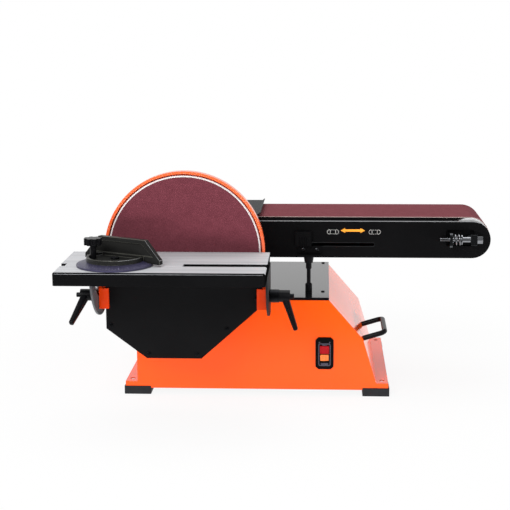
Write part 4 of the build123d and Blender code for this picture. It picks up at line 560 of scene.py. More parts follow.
# Cast in sand: a dull grey metal, also laid on as a painted highlight on the table's front edge and the
# left trunnion's rim.
sand_cast_and_highlight = surface(
    "sand_cast_aluminium_and_highlight", ("#6A6B6E", "#8C8D90"), cloud_mm=10, grain_mm=2,
    gloss=(0.42, 0.6), relief=(0.15, 0.3), Metallic=1.0)
# Cast and gone dark: the skin has lost its metallic shine.
dark_casting = surface(
    "tarnished_cast_aluminium", ("#4A4B4E", "#646568"), cloud_mm=10, grain_mm=2,
    gloss=(0.55, 0.7), relief=(0.15, 0.3), Specular_IOR_Level=0.15)
# Nearly white metal: a painted highlight on the walls of the left trunnion's slot.
painted_highlight_metal = surface(
    "slot_wall_painted_highlight", ("#E4E5E7", "#F5F6F7"), cloud_mm=8, grain_mm=1.2,
    gloss=(0.24, 0.36), relief=(0.05, 0.05), Metallic=1.0)
print("aluminium:", turned_aluminium.name, satin_aluminium.name, sand_cast_and_highlight.name, dark_casting.name,
      painted_highlight_metal.name)

# %% [markdown]
# ## Steel
# Small hardware is zinc plated, and the plating turns dark with age. The spring is drawn wire, and
# levers, studs and steel that is out of sight are blackened in hot oil. All are fully metallic, and
# differ only in tone and gloss.

# %% Steel
# New zinc: bright, with a faint cloud.
zinc_plate = surface(
    "zinc_plated_steel", ("#B4B6BA", "#DCDEE1"), cloud_mm=6, grain_mm=3,
    gloss=(0.2, 0.32), relief=(0.08, 0.05), Metallic=1.0)
# Old zinc: dark grey with a sharp shine.
dull_zinc = surface(
    "dull_zinc_screws", ("#4A4C50", "#6C6E72"), cloud_mm=4, grain_mm=1.5,
    gloss=(0.18, 0.28), relief=(0.08, 0.05), Metallic=1.0)
# Drawn wire: smooth, between the two in tone.
spring_steel = surface(
    "bright_spring_steel", ("#7A7C80", "#A4A6AA"), cloud_mm=4, grain_mm=1.5,
    gloss=(0.16, 0.24), relief=(0.05, 0.05), Metallic=1.0)
# Blackened: a dark metal with a soft sheen.
black_oxide = surface(
    "black_oxide_steel", ("#1C1D1F", "#2C2D30"), cloud_mm=8, grain_mm=2,
    gloss=(0.36, 0.5), relief=(0.1, 0.1), Metallic=1.0)
print("steel:", zinc_plate.name, dull_zinc.name, spring_steel.name, black_oxide.name)

# %% [markdown]
# ## Plastics and rubber
# Levers, knobs and the switch are made in etched moulds, which leave a pebble grain about 0.4 mm
# wide, drawn at 1.5 mm. A noise would look like dust, so the grain is a pattern of cells. Rubber is
# the same idea, but duller.

# %% Plastics and rubber
pebble = "ShaderNodeTexVoronoi"
# Nylon: black, with a small soft highlight.
black_nylon = surface(
    "grained_black_nylon", ("#0A0A0C", "#121214"), cloud_mm=12, grain_mm=1.5,
    gloss=(0.26, 0.36), relief=(0.05, 0.1), grain_kind=pebble, Specular_IOR_Level=0.12)
# Charcoal plastic: a cool dark grey with a clear gloss.
bezel_abs = surface(
    "charcoal_plastic", ("#3C3846", "#4C4856"), cloud_mm=12, grain_mm=1.5,
    gloss=(0.22, 0.32), relief=(0.04, 0.1), grain_kind=pebble, Specular_IOR_Level=0.5)
# Rubber: dull and very dark.
foot_rubber = surface(
    "moulded_black_rubber", ("#1B1C1E", "#242528"), cloud_mm=14, grain_mm=1.5,
    gloss=(0.6, 0.78), relief=(0.12, 0.15), grain_kind=pebble, Specular_IOR_Level=0.3)
# Red plastic: deep and glossy.
red_abs = surface(
    "gloss_red_plastic", ("#980210", "#B00A18"), cloud_mm=10, grain_mm=1.5,
    gloss=(0.2, 0.3), relief=(0.03, 0.1), grain_kind=pebble, Specular_IOR_Level=0.2)
# Amber plastic: warm and glossy.
amber_abs = surface(
    "gloss_amber_plastic", ("#F5772E", "#FC9350"), cloud_mm=10, grain_mm=1.5,
    gloss=(0.2, 0.32), relief=(0.03, 0.1), grain_kind=pebble, Specular_IOR_Level=0.4)
print("moulded:", black_nylon.name, bezel_abs.name, foot_rubber.name, red_abs.name, amber_abs.name)

# %% [markdown]
# ## Cloth and ink
# The back of the abrasive is cotton cloth, which shows as a thin line along each edge: bare on the
# disc, and soaked with resin on the belt. The marks on the arm and on the gauge's scale are screen
# printed, a thin and flat ink.

# %% Cloth and ink
# Bare cotton: nearly white, with no shine.
cloth_back = surface(
    "cotton_cloth_backing", ("#E2DDD8", "#F6F2EE"), cloud_mm=9, grain_mm=1.0,
    gloss=(0.75, 0.9), relief=(0.2, 0.1), Specular_IOR_Level=0.1)
# Soaked cotton: a greyish pink.
resin_cloth = surface(
    "resin_soaked_cloth", ("#A08E8A", "#B8A6A2"), cloud_mm=9, grain_mm=1.0,
    gloss=(0.75, 0.9), relief=(0.2, 0.1), Specular_IOR_Level=0.1)
# White ink: a flat off-white.
white_ink = surface(
    "white_screen_ink", ("#BDBDBA", "#D6D6D3"), cloud_mm=5, grain_mm=0.8,
    gloss=(0.5, 0.65), relief=(0.05, 0.02), Specular_IOR_Level=0.2)
# Faded ink: a dull violet, paler than the dial under it.
scale_ink = surface(
    "faded_scale_ink", ("#6E6B82", "#807D94"), cloud_mm=5, grain_mm=0.8,
    gloss=(0.5, 0.65), relief=(0.05, 0.02), Specular_IOR_Level=0.2)
# Amber ink: warm and flat.
orange_ink = surface(
    "amber_screen_ink", ("#E8952A", "#F6A53C"), cloud_mm=5, grain_mm=0.8,
    gloss=(0.5, 0.65), relief=(0.05, 0.02), Specular_IOR_Level=0.2)
print("cloth and ink:", cloth_back.name, resin_cloth.name, white_ink.name, scale_ink.name, orange_ink.name)

# %% [markdown]
# ## Milled cast table
# The table is a casting whose top was milled and then ground along its length. The cutter leaves
# fine lines along X, about 0.3 mm apart and drawn at 1.6 mm, in broader bands. They come from noises
# that are stretched along the table. A fully metallic top would mirror the red disc like a tray, but
# so many lines scatter most of the light, so it is set only partly metallic.

# %% Milled cast table
line_mm, band_mm, line_stretch = 1.6, 16, 0.012
milled_top, shader = new_material("milled_cast_table", Metallic=0.2, Specular_IOR_Level=0.25)
place = add_node(milled_top, "ShaderNodeTexCoord").outputs["Object"]
along = add_node(milled_top, "ShaderNodeMapping", {"Scale": (line_stretch, 1.0, 1.0)},
                 {"Vector": place}).outputs["Vector"]
lines = add_node(milled_top, "ShaderNodeTexNoise", {"Scale": per_metre(line_mm), "Detail": 4.0},
                 {"Vector": along}).outputs["Fac"]
bands = add_node(milled_top, "ShaderNodeTexNoise", {"Scale": per_metre(band_mm), "Detail": 3.0},
                 {"Vector": along}).outputs["Fac"]
both = add_node(milled_top, "ShaderNodeMath", links={0: lines, 1: bands}, operation="ADD")
half = add_node(milled_top, "ShaderNodeMath", {1: 0.5}, {0: both.outputs[0]}, operation="MULTIPLY")
tone = add_node(milled_top, "ShaderNodeMix", {6: paint("#7C7E82"), 7: paint("#EEEFF2")},
                {0: half.outputs[0]}, data_type="RGBA")
gloss = add_node(milled_top, "ShaderNodeMapRange", {"To Min": 0.5, "To Max": 0.66}, {"Value": lines})
relief = add_node(milled_top, "ShaderNodeBump", {"Strength": 0.1, "Distance": mm(0.05)}, {"Height": lines})
feed(milled_top, shader, Base_Color=tone.outputs[2], Roughness=gloss.outputs["Result"],
     Normal=relief.outputs["Normal"])
print("made", milled_top.name)

# %% [markdown]
# ## Abrasive cloth
# The disc and the belt are cloth with grains of aluminium oxide set in a red-brown resin. At 80
# grit a grain is 0.2 mm, which is drawn at 1.2 mm to show. The grains scatter light in all
# directions, so the surface is very rough, with small pale sparks on a darker ground. The disc is a
# darker batch than the belt, so one recipe is called twice.

# %% Abrasive cloth
grit_mm, patch_mm = 1.2, 14


def abrasive(name, dark, pale):
    """Cloth with a layer of grains between two tones."""
    material, shader = new_material(name, Specular_IOR_Level=0.12, Roughness=0.85)
    place = add_node(material, "ShaderNodeTexCoord").outputs["Object"]
    grit = add_node(material, "ShaderNodeTexVoronoi", {"Scale": per_metre(grit_mm)}, {"Vector": place})
    patches = add_node(material, "ShaderNodeTexNoise", {"Scale": per_metre(patch_mm), "Detail": 5.0},
                       {"Vector": place})
    speck = add_node(material, "ShaderNodeMapRange", {"To Min": 0.2, "To Max": 0.6},
                     {"Value": grit.outputs["Color"]})
    mixed = add_node(material, "ShaderNodeMath", {1: 0.4},
                     {0: patches.outputs["Fac"], 2: speck.outputs["Result"]}, operation="MULTIPLY_ADD")
    tone = add_node(material, "ShaderNodeMix", {6: paint(dark), 7: paint(pale)}, {0: mixed.outputs[0]},
                    data_type="RGBA")
    relief = add_node(material, "ShaderNodeBump", {"Strength": 0.35, "Distance": mm(0.3)},
                      {"Height": grit.outputs["Distance"]})
    feed(material, shader, Base_Color=tone.outputs[2], Normal=relief.outputs["Normal"])
    return material


belt_cloth = abrasive("abrasive_belt_cloth", "#58252C", "#8E4A52")
disc_cloth = abrasive("abrasive_disc_cloth", "#471C24", "#743B45")
print("made", belt_cloth.name, disc_cloth.name)

# %% [markdown]
# ## Rounding the solids
# A solid from CAD has knife edges, and its mesh is loose triangles. Real edges are rounded and
# catch the light as a thin line. So each visible node is copied, its triangles are joined, flat
# neighbours are merged, and a small bevel goes on every edge that turns sharply. Weighted normals
# keep the large faces flat beside the bevels. The copy then stands for the node and rides on the
# same body.

# %% Rounded copies
flat_angle, sharp_turn = math.radians(0.4), 28.0


def rounded_copy(name, radius_mm, material, edge=None):
    """Copies a node, joins its triangles, rounds its sharp edges, in another finish if one is given."""
    node = frame["nodes"][name]
    only(node)
    bpy.ops.object.duplicate()
    piece = bpy.context.active_object
    piece.name = name + "_finished"
    del piece["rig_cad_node"]
    bpy.ops.object.mode_set(mode="EDIT")
    bpy.ops.mesh.select_all(action="SELECT")
    bpy.ops.mesh.remove_doubles(threshold=weld_gap)
    bpy.ops.mesh.dissolve_limited(angle_limit=flat_angle)
    bpy.ops.object.mode_set(mode="OBJECT")
    dress(piece, node["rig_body"], material)
    if edge:
        piece.data.materials.append(edge)
    soften(piece, radius_mm, turn=sharp_turn, band=1 if edge else -1)
    modify(piece, "WEIGHTED_NORMAL", keep_sharp=True)
    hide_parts(name)
    return piece


# Each row has a node, its rounding in millimetres, its finish and, where it differs, that of its edges.
rounding_list = [
    ("base_right_side", 0.7, orange_coat), ("base_left_side", 0.7, orange_coat),
    ("base_front_panel", 0.4, orange_coat), ("base_rear_panel", 0.6, orange_coat),
    ("base_top_plate", 0.6, black_gloss), ("disc_housing", 0.8, guard_orange_painted_reflection),
    ("lower_disc_cover", 0.5, cover_black), ("table_brackets", 0.8, orange_painted_shade),
    ("table_trunnions", 0.6, dark_casting), ("table_top", 0.5, black_satin),
    ("rubber_feet", 1.0, foot_rubber), ("switch_frame", 0.6, black_satin),
    ("switch_rocker", 0.5, red_abs), ("safety_key", 0.6, amber_abs),
    ("drum_cover", 0.4, dark_enamel_and_shade), ("strut_bracket", 0.5, black_satin),
    # The edges of the clamp levers and the gauge head take a painted highlight.
    ("strut_rod", 0.5, black_nylon), ("clamp_lever_left", 0.7, black_nylon, edge_highlight_enamel),
    ("clamp_lever_right", 0.7, black_nylon, edge_highlight_enamel), ("lock_studs", 0.5, black_oxide),
    ("mitre_head", 0.8, olive_enamel, edge_highlight_enamel), ("mitre_protractor", 0.5, slate_coat),
    ("mitre_lock_knob", 0.9, black_nylon), ("mitre_bar", 0.4, milled_top),
    ("lever_grip", 0.6, black_satin), ("tension_lever", 0.5, black_oxide),
    ("dust_port", 0.6, black_nylon), ("rear_bearing_bracket", 1.2, black_satin),
    ("spindle_housing", 1.2, black_satin), ("housing_bolts", 0.5, zinc_plate),
    ("arm_near_plate", 0.4, black_satin), ("arm_far_plate", 0.4, black_satin),
    ("arm_near_cover", 0.4, black_satin), ("arm_far_cover", 0.4, black_satin),
    ("belt_cover", 0.5, black_satin), ("arm_platen", 0.4, black_satin),
    ("idler_carriage", 0.4, black_satin), ("idler_axle", 0.5, dull_zinc),
    ("tracking_screw", 0.4, spring_steel), ("disc_plate", 0.3, satin_aluminium),
    ("sanding_belt", 0.25, belt_cloth), ("abrasive_disc", 0.25, disc_cloth),
    ("cord_gland", 0.5, black_nylon), ("carry_handle", 0.4, black_nylon),
]
rounded = {}
for name, *finish in rounding_list:
    rounded[name] = rounded_copy(name, *finish)
print("rounded", len(rounded), "pieces,", sum(len(p.data.polygons) for p in rounded.values()), "faces")

# %% [markdown]
# ## Two finishes on one piece
# The table is painted black all over and then milled, so only its top is bare. Along its front rounding,
# matt black above is a painted shade line and bare cast metal below is a painted highlight. It could be cut
# into separate pieces,
# but on the real machine it is one, so one mesh takes several materials, on faces that are chosen by
# place and direction.

# %% Table
table_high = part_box("table_top")[1].z
edge_low = table_high - mm(3.2)
edge_turn_low, edge_turn_mid, edge_turn_high = 0.2, 0.4, 0.998


def on_front_edge(centre, normal, least, most):
    """Whether a face of the rounding along the front looks up by an amount between two."""
    return least < normal.z <= most and normal.y < -0.05 and centre.z > edge_low


table = rounded["table_top"]
paint_faces(table, matte_black_and_shade, lambda centre, normal: abs(normal.x) > 0.6)
paint_faces(table, milled_top, lambda centre, normal: normal.z > edge_turn_low and centre.z > edge_low)
# A painted shade line along the upper part of the front rounding.
paint_faces(table, matte_black_and_shade,
            lambda centre, normal: on_front_edge(centre, normal, edge_turn_mid, edge_turn_high))
# A painted highlight along the lower part of the front rounding, in cast metal.
paint_faces(table, sand_cast_and_highlight,
            lambda centre, normal: on_front_edge(centre, normal, edge_turn_low, edge_turn_mid))
print("table finishes:", [material.name for material in table.data.materials])

# %% [markdown]
# The two trunnions carry the table and turn with it. Their castings have gone dark. The left one has
# painted highlights: near white on the walls of its curved slot and, less so, a lighter cast metal along
# its rim. The right one has a painted shade, a dark coat beyond its hub for the shadow under the table.
# Slot and rim are arcs round the axis that the table tilts about, so faces could hardly be chosen by their
# height, and their distance from that axis is used instead.

# %% Trunnions
tilt_axis = joint_place["table_tilt"]
painted_shade_from, arc_slot_from, arc_slot_to, rim_from = mm(30), mm(68), mm(82), mm(105)


def from_tilt_axis(point):
    """How far a point is from the axis that the table tilts about."""
    return math.hypot(point.y - tilt_axis.y, point.z - tilt_axis.z)


trunnions = rounded["table_trunnions"]
# Lighter cast metal along the left rim: a painted highlight.
paint_faces(trunnions, sand_cast_and_highlight,
            lambda centre, normal: (
                centre.x < 0 and abs(normal.x) < 0.3 and from_tilt_axis(centre) > rim_from))
# Near white on the walls of the curved slot: a painted highlight.
paint_faces(trunnions, painted_highlight_metal,
            lambda centre, normal: (
                abs(normal.x) < 0.7 and arc_slot_from < from_tilt_axis(centre) < arc_slot_to))
# A dark coat on the right trunnion: a painted shade for the shadow under the table.
paint_faces(trunnions, dark_enamel_and_shade,
            lambda centre, normal: centre.x > 0 and from_tilt_axis(centre) > painted_shade_from)
print("trunnion finishes:", [material.name for material in trunnions.data.materials])

# %% [markdown]
# Other pieces have a second finish too. The belt and the disc show their cloth along the edge. The lower
# walls of the disc housing are painted matt black below the top of the lower cover. The top edge of the
# arm's cover and the slanted end of the gauge's fence are painted light grey as a painted highlight, the
# gauge's bar is blackened above the table, the lug of the idler's carriage is plated, and the top plate is
# dull in front.

# %% Cloth edges, walls and painted highlights
paint_faces(rounded["sanding_belt"], resin_cloth, lambda centre, normal: abs(normal.y) > 0.5)
paint_faces(rounded["abrasive_disc"], cloth_back, lambda centre, normal: abs(normal.y) < 0.6)
lower_cover_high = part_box("lower_disc_cover")[1].z
# The lower walls of the disc housing are painted matt black below the top of the lower cover.
paint_faces(rounded["disc_housing"], matte_black_and_shade,
            lambda centre, normal: normal.y < 0.7 and centre.z < lower_cover_high)
arm_cover_low, arm_cover_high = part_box("arm_near_cover")
# The top edge of the arm's cover: a painted highlight in light grey.
paint_faces(rounded["arm_near_cover"], light_enamel_and_highlight,
            lambda centre, normal: normal.z > 0.4 and centre.z > arm_cover_high.z - mm(3))
# The slanted end of the gauge's fence: a painted highlight in light grey.
paint_faces(rounded["mitre_head"], light_enamel_and_highlight,
            lambda centre, normal: normal.x > 0.2 and normal.z > 0.1 and normal.y < -0.35)
paint_faces(rounded["mitre_bar"], black_oxide, lambda centre, normal: centre.z > table_high + mm(1))
paint_faces(rounded["base_top_plate"], black_satin, lambda centre, normal: normal.y < -0.5)
cover_face = arm_cover_low.y
paint_faces(rounded["idler_carriage"], dull_zinc, lambda centre, normal: centre.y < cover_face)
print("more than one finish:", [p.name for p in rounded.values() if len(p.data.materials) > 1])

# %% [markdown]
# ## Tracking screw and spring
# The idler's axle comes out through a window in the arm's cover. A screw in front of it draws the
# axle back against a spring, which steers the belt. A spring could be bent along a curve, but the
# Screw modifier winds any small ring into a helix, so it makes the spring from a round ring and the
# thread from a square one. Both are wound to the places that the solids of the screw give.

# %% Winding a coil
def coil(name, radius, wire, pitch, turns, sides):
    """Winds a small ring round Z into a closed helix that starts at Z = 0, with sizes in millimetres."""
    piece = new_piece(name, bpy.ops.mesh.primitive_circle_add, vertices=sides, radius=mm(wire),
                      location=mm(radius, 0, 0), rotation=(math.pi / 2, 0, 0))
    modify(piece, "SCREW", axis="Z", steps=32, render_steps=32, screw_offset=mm(pitch), iterations=turns)
    bpy.ops.object.mode_set(mode="EDIT")
    bpy.ops.mesh.select_all(action="SELECT")
    bpy.ops.mesh.fill_holes(sides=0)
    bpy.ops.mesh.select_all(action="SELECT")
    bpy.ops.mesh.normals_make_consistent(inside=False)
    bpy.ops.object.mode_set(mode="OBJECT")
    bpy.ops.object.shade_smooth_by_angle(angle=smooth_angle)
    return piece


by_length = sorted(solid_boxes("tracking_screw"), key=lambda box: box[1].x - box[0].x)
spring_low, spring_high = by_length[0]
screw_low, screw_high = by_length[1]
screw_axis = (spring_low + spring_high) / 2
along_x = (0, math.pi / 2, 0)
print("screw", round(1000 * (screw_high.x - screw_low.x), 1), "mm long")

# %% [markdown]
# The solid of the screw keeps the spring's place with a plain sleeve. Its faces are deleted from the
# rounded copy, by their distance from the screw's axis, and the spring is wound in that space.

# %% Spring
spring_wire, spring_turns, spring_sides = 1.3, 2, 14
spring_r = 1000 * (spring_high.z - spring_low.z) / 2 - spring_wire
spring_pitch = (1000 * (spring_high.x - spring_low.x) - 2 * spring_wire) / spring_turns
sleeve_inner, sleeve_slack = mm(6), mm(0.1)

only(rounded["tracking_screw"])
bpy.ops.object.mode_set(mode="EDIT")
pick_faces(rounded["tracking_screw"], lambda centre, normal, area: (
    spring_low.x - sleeve_slack < centre.x < spring_high.x + sleeve_slack
    and math.hypot(centre.y - screw_axis.y, centre.z - screw_axis.z) > sleeve_inner))
bpy.ops.mesh.delete(type="FACE")
bpy.ops.object.mode_set(mode="OBJECT")

spring_start = (spring_low.x + mm(spring_wire), screw_axis.y, screw_axis.z)
spring = copies("tracking_spring",
                coil("spring", spring_r, spring_wire, spring_pitch, spring_turns, spring_sides),
                [(spring_start, along_x)])
dress(spring, "tracking", spring_steel)
print("spring:", spring_turns, "turns of", round(spring_pitch, 2), "mm")

# %% [markdown]
# A bump in the material could stand for the thread, but its outline would stay smooth. A square ring
# that is wound at the usual pitch of 1 mm lies about half in the screw, and its corner is the crest.

# %% Thread
thread_r, thread_wire, thread_pitch, thread_turns, thread_sides = 2.9, 0.45, 1.0, 14, 4
thread_start = (screw_low.x + mm(0.8), screw_axis.y, screw_axis.z)
thread = copies("tracking_thread",
                coil("thread", thread_r, thread_wire, thread_pitch, thread_turns, thread_sides),
                [(thread_start, along_x)])
dress(thread, "tracking", dull_zinc)
print("thread:", thread_turns, "turns")

# %% [markdown]
# ## Screws with a cross recess
# The cover, the strut's bracket and the top plate are held by pan head screws. Each head could be
# left as the plain dome of its solid, but the recess is what makes it read as a screw. One head is
# turned from a cylinder, rounded at the top and cut twice with a bar, and then copied.

# %% Pan head screws
def pan_screw(radius, height):
    """A pan head screw with a cross recess: its seat is at the origin and its head points up Z."""
    head = new_piece("pan_screw", bpy.ops.mesh.primitive_cylinder_add, vertices=32, radius=radius,
                     depth=height, location=(0, 0, height / 2))
    bpy.ops.object.mode_set(mode="EDIT")
    pick_edges(head, lambda a, b: min(a.z, b.z) > 0.9 * height)
    bpy.ops.mesh.bevel(offset=0.6 * height, segments=4, affect="EDGES")
    bpy.ops.object.mode_set(mode="OBJECT")
    for turn in (0.0, math.pi / 2):
        cut(head, new_piece("recess", bpy.ops.mesh.primitive_cube_add, size=1.0, location=(0, 0, height),
                            rotation=(0, 0, turn), scale=(1.1 * radius, 0.24 * radius, 1.1 * height)))
    only(head)
    bpy.ops.object.shade_smooth_by_angle(angle=math.radians(35.0))
    return head


def screw_heads(node, material, seats, height, turn):
    """Puts a pan head on each seat, in place of the plain screws of a node."""
    low, high = solid_boxes(node)[0]
    heads = copies(node + "_finished", pan_screw((high.x - low.x) / 2, height),
                   [(seat, turn) for seat in seats])
    dress(heads, frame["nodes"][node]["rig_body"], material)
    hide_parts(node)
    print(node, "heads:", len(seats))


to_front = (math.pi / 2, 0, 0)
for node, material in (("cover_screws", black_oxide), ("strut_screws", dull_zinc)):
    boxes = solid_boxes(node)
    seats = [((low.x + high.x) / 2, high.y, (low.z + high.z) / 2) for low, high in boxes]
    screw_heads(node, material, seats, boxes[0][1].y - boxes[0][0].y, to_front)

plate_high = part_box("base_top_plate")[1].z
boxes = solid_boxes("top_plate_screws")
seats = [((low.x + high.x) / 2, (low.y + high.y) / 2, plate_high) for low, high in boxes]
screw_heads("top_plate_screws", black_satin, seats, boxes[0][1].z - plate_high, (0, 0, 0))

# %% [markdown]
# ## Switch
# The safety switch has a lighter raised ring round the rocker and the key, and small raised pads of the
# same plastic above and below them and at the corners and sides, whose lighter tone is a painted highlight
# where bright spots fall. A ring could be drawn as an outline and thickened, but a block with a window cut
# out of it is quicker.

# %% Switch bezel
def block(name, x, y, z, width, depth, height, corner):
    """A block round a point, with the four edges that run along Y rounded."""
    piece = new_piece(name, bpy.ops.mesh.primitive_cube_add, size=1.0, location=(x, y, z),
                      scale=(width, depth, height))
    bpy.ops.object.mode_set(mode="EDIT")
    pick_edges(piece, lambda a, b: abs(a.y - b.y) > 0.9 * depth)
    bpy.ops.mesh.bevel(offset=corner, segments=4, affect="EDGES")
    bpy.ops.object.mode_set(mode="OBJECT")
    return piece


frame_low, frame_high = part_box("switch_frame")
switch_x, switch_face = (frame_low.x + frame_high.x) / 2, frame_low.y
bezel_bottom, bezel_top, bezel_width = mm(56.2), mm(97.6), mm(22.0)
bezel_wall, bezel_sheet = mm(1.7), mm(1.6)
bezel_z, bezel_height = (bezel_bottom + bezel_top) / 2, bezel_top - bezel_bottom
ring = block("ring", switch_x, switch_face, bezel_z, bezel_width, bezel_sheet, bezel_height, mm(3.4))
cut(ring, block("window", switch_x, switch_face, bezel_z, bezel_width - 2 * bezel_wall, mm(10),
                bezel_height - 2 * bezel_wall, mm(2)))

pads = [ring]
pad_face, pad_sheet = switch_face - mm(0.1), mm(1.7)
# Each pad has its place across the switch and above the bench, its width and its height, in millimetres.
pad_list = [(0, 94.6, 8.0, 1.8), (0, 60.0, 13.0, 3.4), (-9.2, 99.6, 2.6, 2.2), (9.2, 99.6, 2.6, 2.2),
            (-10.6, 80.6, 1.9, 2.6), (10.6, 80.6, 1.9, 2.6)]
# The pads are a painted highlight: light plastic where bright spots fall on the switch.
for across, up, width, height in pad_list:
    pads.append(block("pad", switch_x + mm(across), pad_face, mm(up), mm(width), pad_sheet, mm(height),
                      mm(0.42 * height)))
dress(soften(join("switch_bezel", pads), 0.4), "base", bezel_abs)
print("switch bezel", round(1000 * bezel_height, 1), "mm high with", len(pad_list), "pads")

# %% [markdown]
# The key is pulled out by hand to lock the switch, and two upright grooves in its front give a grip.
# They are cut with blocks that stand half in the key.

# %% Key grooves
groove_x, groove_width, groove_depth, groove_end = mm(2.6), mm(1.7), mm(2.0), mm(1.1)
key_low, key_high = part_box("safety_key")
for side in (-1, 1):
    cut(rounded["safety_key"],
        block("groove", switch_x + side * groove_x, key_low.y, (key_low.z + key_high.z) / 2, groove_width,
              2 * groove_depth, key_high.z - key_low.z - 2 * groove_end, mm(0.3)))
print("key grooves", round(1000 * groove_depth, 1), "mm deep")

# %% [markdown]
# ## Clamp levers
# The two levers that lock the table are moulded, with a shallow channel along the front of the arm.
# A cutter could make it, but an inset follows the outline of a face by itself. So it is made as by
# hand: the long front face is inset and pushed in.

# %% Channel in the lever arms
channel_edge, channel_depth, hub_reach, least_area = mm(1.6), mm(0.9), mm(15), mm(10) ** 2
stud_z = joint_place["right_clamp_turn"].z
for name in ("clamp_lever_left", "clamp_lever_right"):
    lever = only(rounded[name])
    bpy.ops.object.mode_set(mode="EDIT")
    pick_faces(lever, lambda centre, normal, area: (
        normal.y < -0.6 and abs(normal.x) < 0.3 and centre.z < stud_z - hub_reach and area > least_area))
    bpy.ops.mesh.inset(thickness=channel_edge, depth=-channel_depth)
    picked = sum(face.select for face in bmesh.from_edit_mesh(lever.data).faces)
    bpy.ops.object.mode_set(mode="OBJECT")
    print(name, "channel faces:", picked)

# %% [markdown]
# ## Scale of the mitre gauge
# The round plate under the gauge head is a protractor with a sloping scale, so that it can be read
# from the front: a line every five degrees and a longer one every fifteen. The lines are thin
# prints, modelled once, laid on the slope and turned round the pivot.

# %% Protractor lines
swivel = joint_place["gauge_swivel"]
dial_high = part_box("mitre_protractor")[1].z
slope_rise, slope_inner, slope_outer = mm(4.5), mm(46.0), mm(61.0)
slope = math.atan2(slope_rise, slope_outer - slope_inner)
line_width, line_sheet, line_margin = mm(0.5), mm(0.24), mm(1.0)
scale_from, scale_to, scale_step, long_step = 185, 360, 5, 15
line_sets = []
for length, long_line in ((mm(7.0), True), (mm(4.0), False)):
    line = new_piece("line", bpy.ops.mesh.primitive_cube_add, size=1.0,
                     scale=(length, line_width, line_sheet))
    line_r = slope_outer - line_margin - length / 2
    line_z = dial_high - (line_r - slope_inner) * math.tan(slope)
    places = []
    for degrees in range(scale_from, scale_to + 1, scale_step):
        if (degrees % long_step == 0) == long_line:
            angle = math.radians(degrees)
            point = (swivel.x + line_r * math.cos(angle), swivel.y + line_r * math.sin(angle), line_z)
            places.append((point, (0, slope, angle)))
    line_sets.append(copies("lines", line, places))
dress(join("protractor_lines", line_sets), "gauge_head", scale_ink)
print("scale slopes by", round(math.degrees(slope), 1), "degrees")

# %% [markdown]
# ## Lip of the lever's slot
# The tension lever comes out through a slot in the arm's cover. The sheet is pressed outward round
# the slot, so that nothing catches on a raw edge, and this narrow lip catches the light. A long
# rounded block with a smaller one cut out gives it.

# %% Slot lip
slot_from, slot_to, slot_z, slot_half = mm(77.0), mm(210.0), mm(265.5), mm(2.8)
slot_middle, slot_length = (slot_from + slot_to) / 2, slot_to - slot_from
lip_wall, lip_sheet = mm(1.0), mm(1.0)
lip = block("lever_slot_lip", slot_middle, cover_face, slot_z, slot_length + 2 * lip_wall, lip_sheet,
            2 * (slot_half + lip_wall), slot_half)
cut(lip, block("opening", slot_middle, cover_face, slot_z, slot_length, mm(6), 2 * slot_half,
               0.8 * slot_half))
dress(soften(lip, 0.3), "belt_arm", black_gloss)
print("slot lip", round(1000 * lip.dimensions.x, 1), "mm long")

# %% [markdown]
# ## Marks on the belt arm
# The cover carries a printed arrow that points both ways, between two small pictures of the belt.
# An arrow could be drawn as one outline. Here a bar is widened and drawn out to a point at each end,
# as by hand.

# %% Printed arrow
mark_sheet = mm(0.3)
arrow_x, arrow_z = mm(171.5), mm(291.0)
shaft_half, head_length, shaft_height, head_height = mm(13.6), mm(8.0), mm(4.3), mm(8.6)
shoulder_step, tip_share = mm(0.01), 0.03
arrow = new_piece("belt_arrow", bpy.ops.mesh.primitive_cube_add, size=1.0,
                  location=(arrow_x, cover_face, arrow_z), scale=(2 * shaft_half, mark_sheet, shaft_height))
bpy.ops.object.mode_set(mode="EDIT")
for side in (-1, 1):
    pick_faces(arrow, lambda centre, normal, area: (
        side * normal.x > 0.9 and side * (centre.x - arrow_x) > 0.9 * shaft_half))
    root = (arrow_x + side * shaft_half, cover_face, arrow_z)
    bpy.ops.mesh.extrude_region_move(TRANSFORM_OT_translate={"value": (side * shoulder_step, 0, 0)})
    bpy.ops.transform.resize(value=(1, 1, head_height / shaft_height), center_override=root)
    bpy.ops.mesh.extrude_region_move(TRANSFORM_OT_translate={"value": (side * head_length, 0, 0)})
    bpy.ops.transform.resize(value=(1, 1, tip_share), center_override=root)
bpy.ops.object.mode_set(mode="OBJECT")
dress(arrow, "belt_arm", orange_ink)
print("arrow", round(1000 * arrow.dimensions.x, 1), "mm long")

# %% [markdown]
# Each small picture shows the belt and its two drums: a D shape at either end, and two dashes
# between them. A curve with a bevel could draw the line, but its corners would pinch. So a D is a
# half disc with a smaller one cut out, modelled once and copied, and so is the dash.

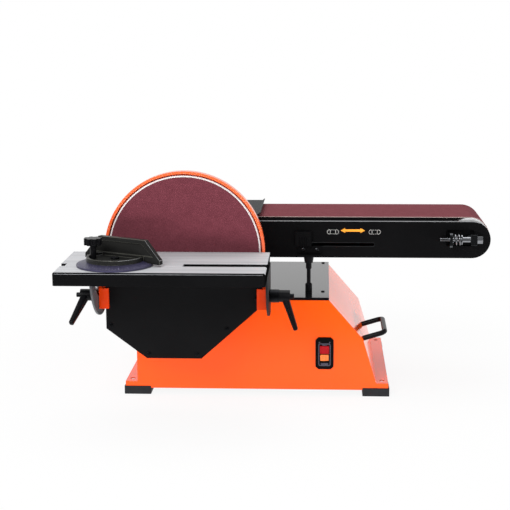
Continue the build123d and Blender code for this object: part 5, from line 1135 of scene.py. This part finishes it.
# %% Printed belt pictures
def half_disc(name, radius, flat, sheet):
    """A half disc in the XZ plane, kept on the side past a flat at X = flat."""
    piece = new_piece(name, bpy.ops.mesh.primitive_cylinder_add, vertices=40, radius=radius, depth=sheet,
                      rotation=to_front)
    bpy.ops.object.mode_set(mode="EDIT")
    bpy.ops.mesh.select_all(action="SELECT")
    bpy.ops.mesh.bisect(plane_co=(flat, 0, 0), plane_no=(1, 0, 0), use_fill=True, clear_inner=True)
    bpy.ops.object.mode_set(mode="OBJECT")
    return piece


picture_left, picture_right, picture_z = mm(136.0), mm(210.5), mm(288.3)
lobe_r, lobe_line, lobe_gap, lobe_flat = mm(4.1), mm(0.5), mm(6.4), mm(-2.0)
dash_length, dash_height, dash_corner, dash_x = mm(2.8), mm(0.45), mm(0.15), mm(2.0)
lobe = half_disc("lobe", lobe_r, lobe_flat, mark_sheet)
cut(lobe, half_disc("inner", lobe_r - lobe_line, lobe_flat + lobe_line, 4 * mark_sheet))
dash = block("dash", 0, 0, 0, dash_length, mark_sheet, dash_height, dash_corner)
lobe_places, dash_places = [], []
for picture_x in (picture_left, picture_right):
    for side, turn in ((-1, (0, math.pi, 0)), (1, (0, 0, 0))):
        lobe_places.append(((picture_x + side * lobe_gap, cover_face, picture_z), turn))
        for up in (-1, 1):
            dash_z = picture_z + up * (lobe_r - lobe_line)
            dash_places.append(((picture_x + side * dash_x, cover_face, dash_z), (0, 0, 0)))
pictures = join("belt_pictures", [copies("lobes", lobe, lobe_places), copies("dashes", dash, dash_places)])
dress(pictures, "belt_arm", white_ink)
print("belt pictures:", len(pictures.data.polygons), "faces")

# %% [markdown]
# ## Painting the solids that stay
# Pieces with turned, stamped or hidden forms are right as they are, and only need their material.

# %% Materials for the other solids
plain_list = {
    "idler_roller": satin_aluminium, "drive_drum": turned_aluminium, "spindle_pulley": turned_aluminium,
    "motor_pulley": turned_aluminium, "motor_housing": sand_cast_and_highlight, "motor_rotor": zinc_plate,
    "spindle": zinc_plate, "spindle_bearings": zinc_plate, "drive_belt": foot_rubber,
    "run_capacitor": black_nylon, "motor_floor": light_enamel_and_highlight, "arm_crossbars": sand_cast_and_highlight,
    "lever_shelf": black_oxide,
}
for name, material in plain_list.items():
    node = frame["nodes"][name]
    node.data.materials.clear()
    node.data.materials.append(material)
print("painted", len(plain_list), "solids")
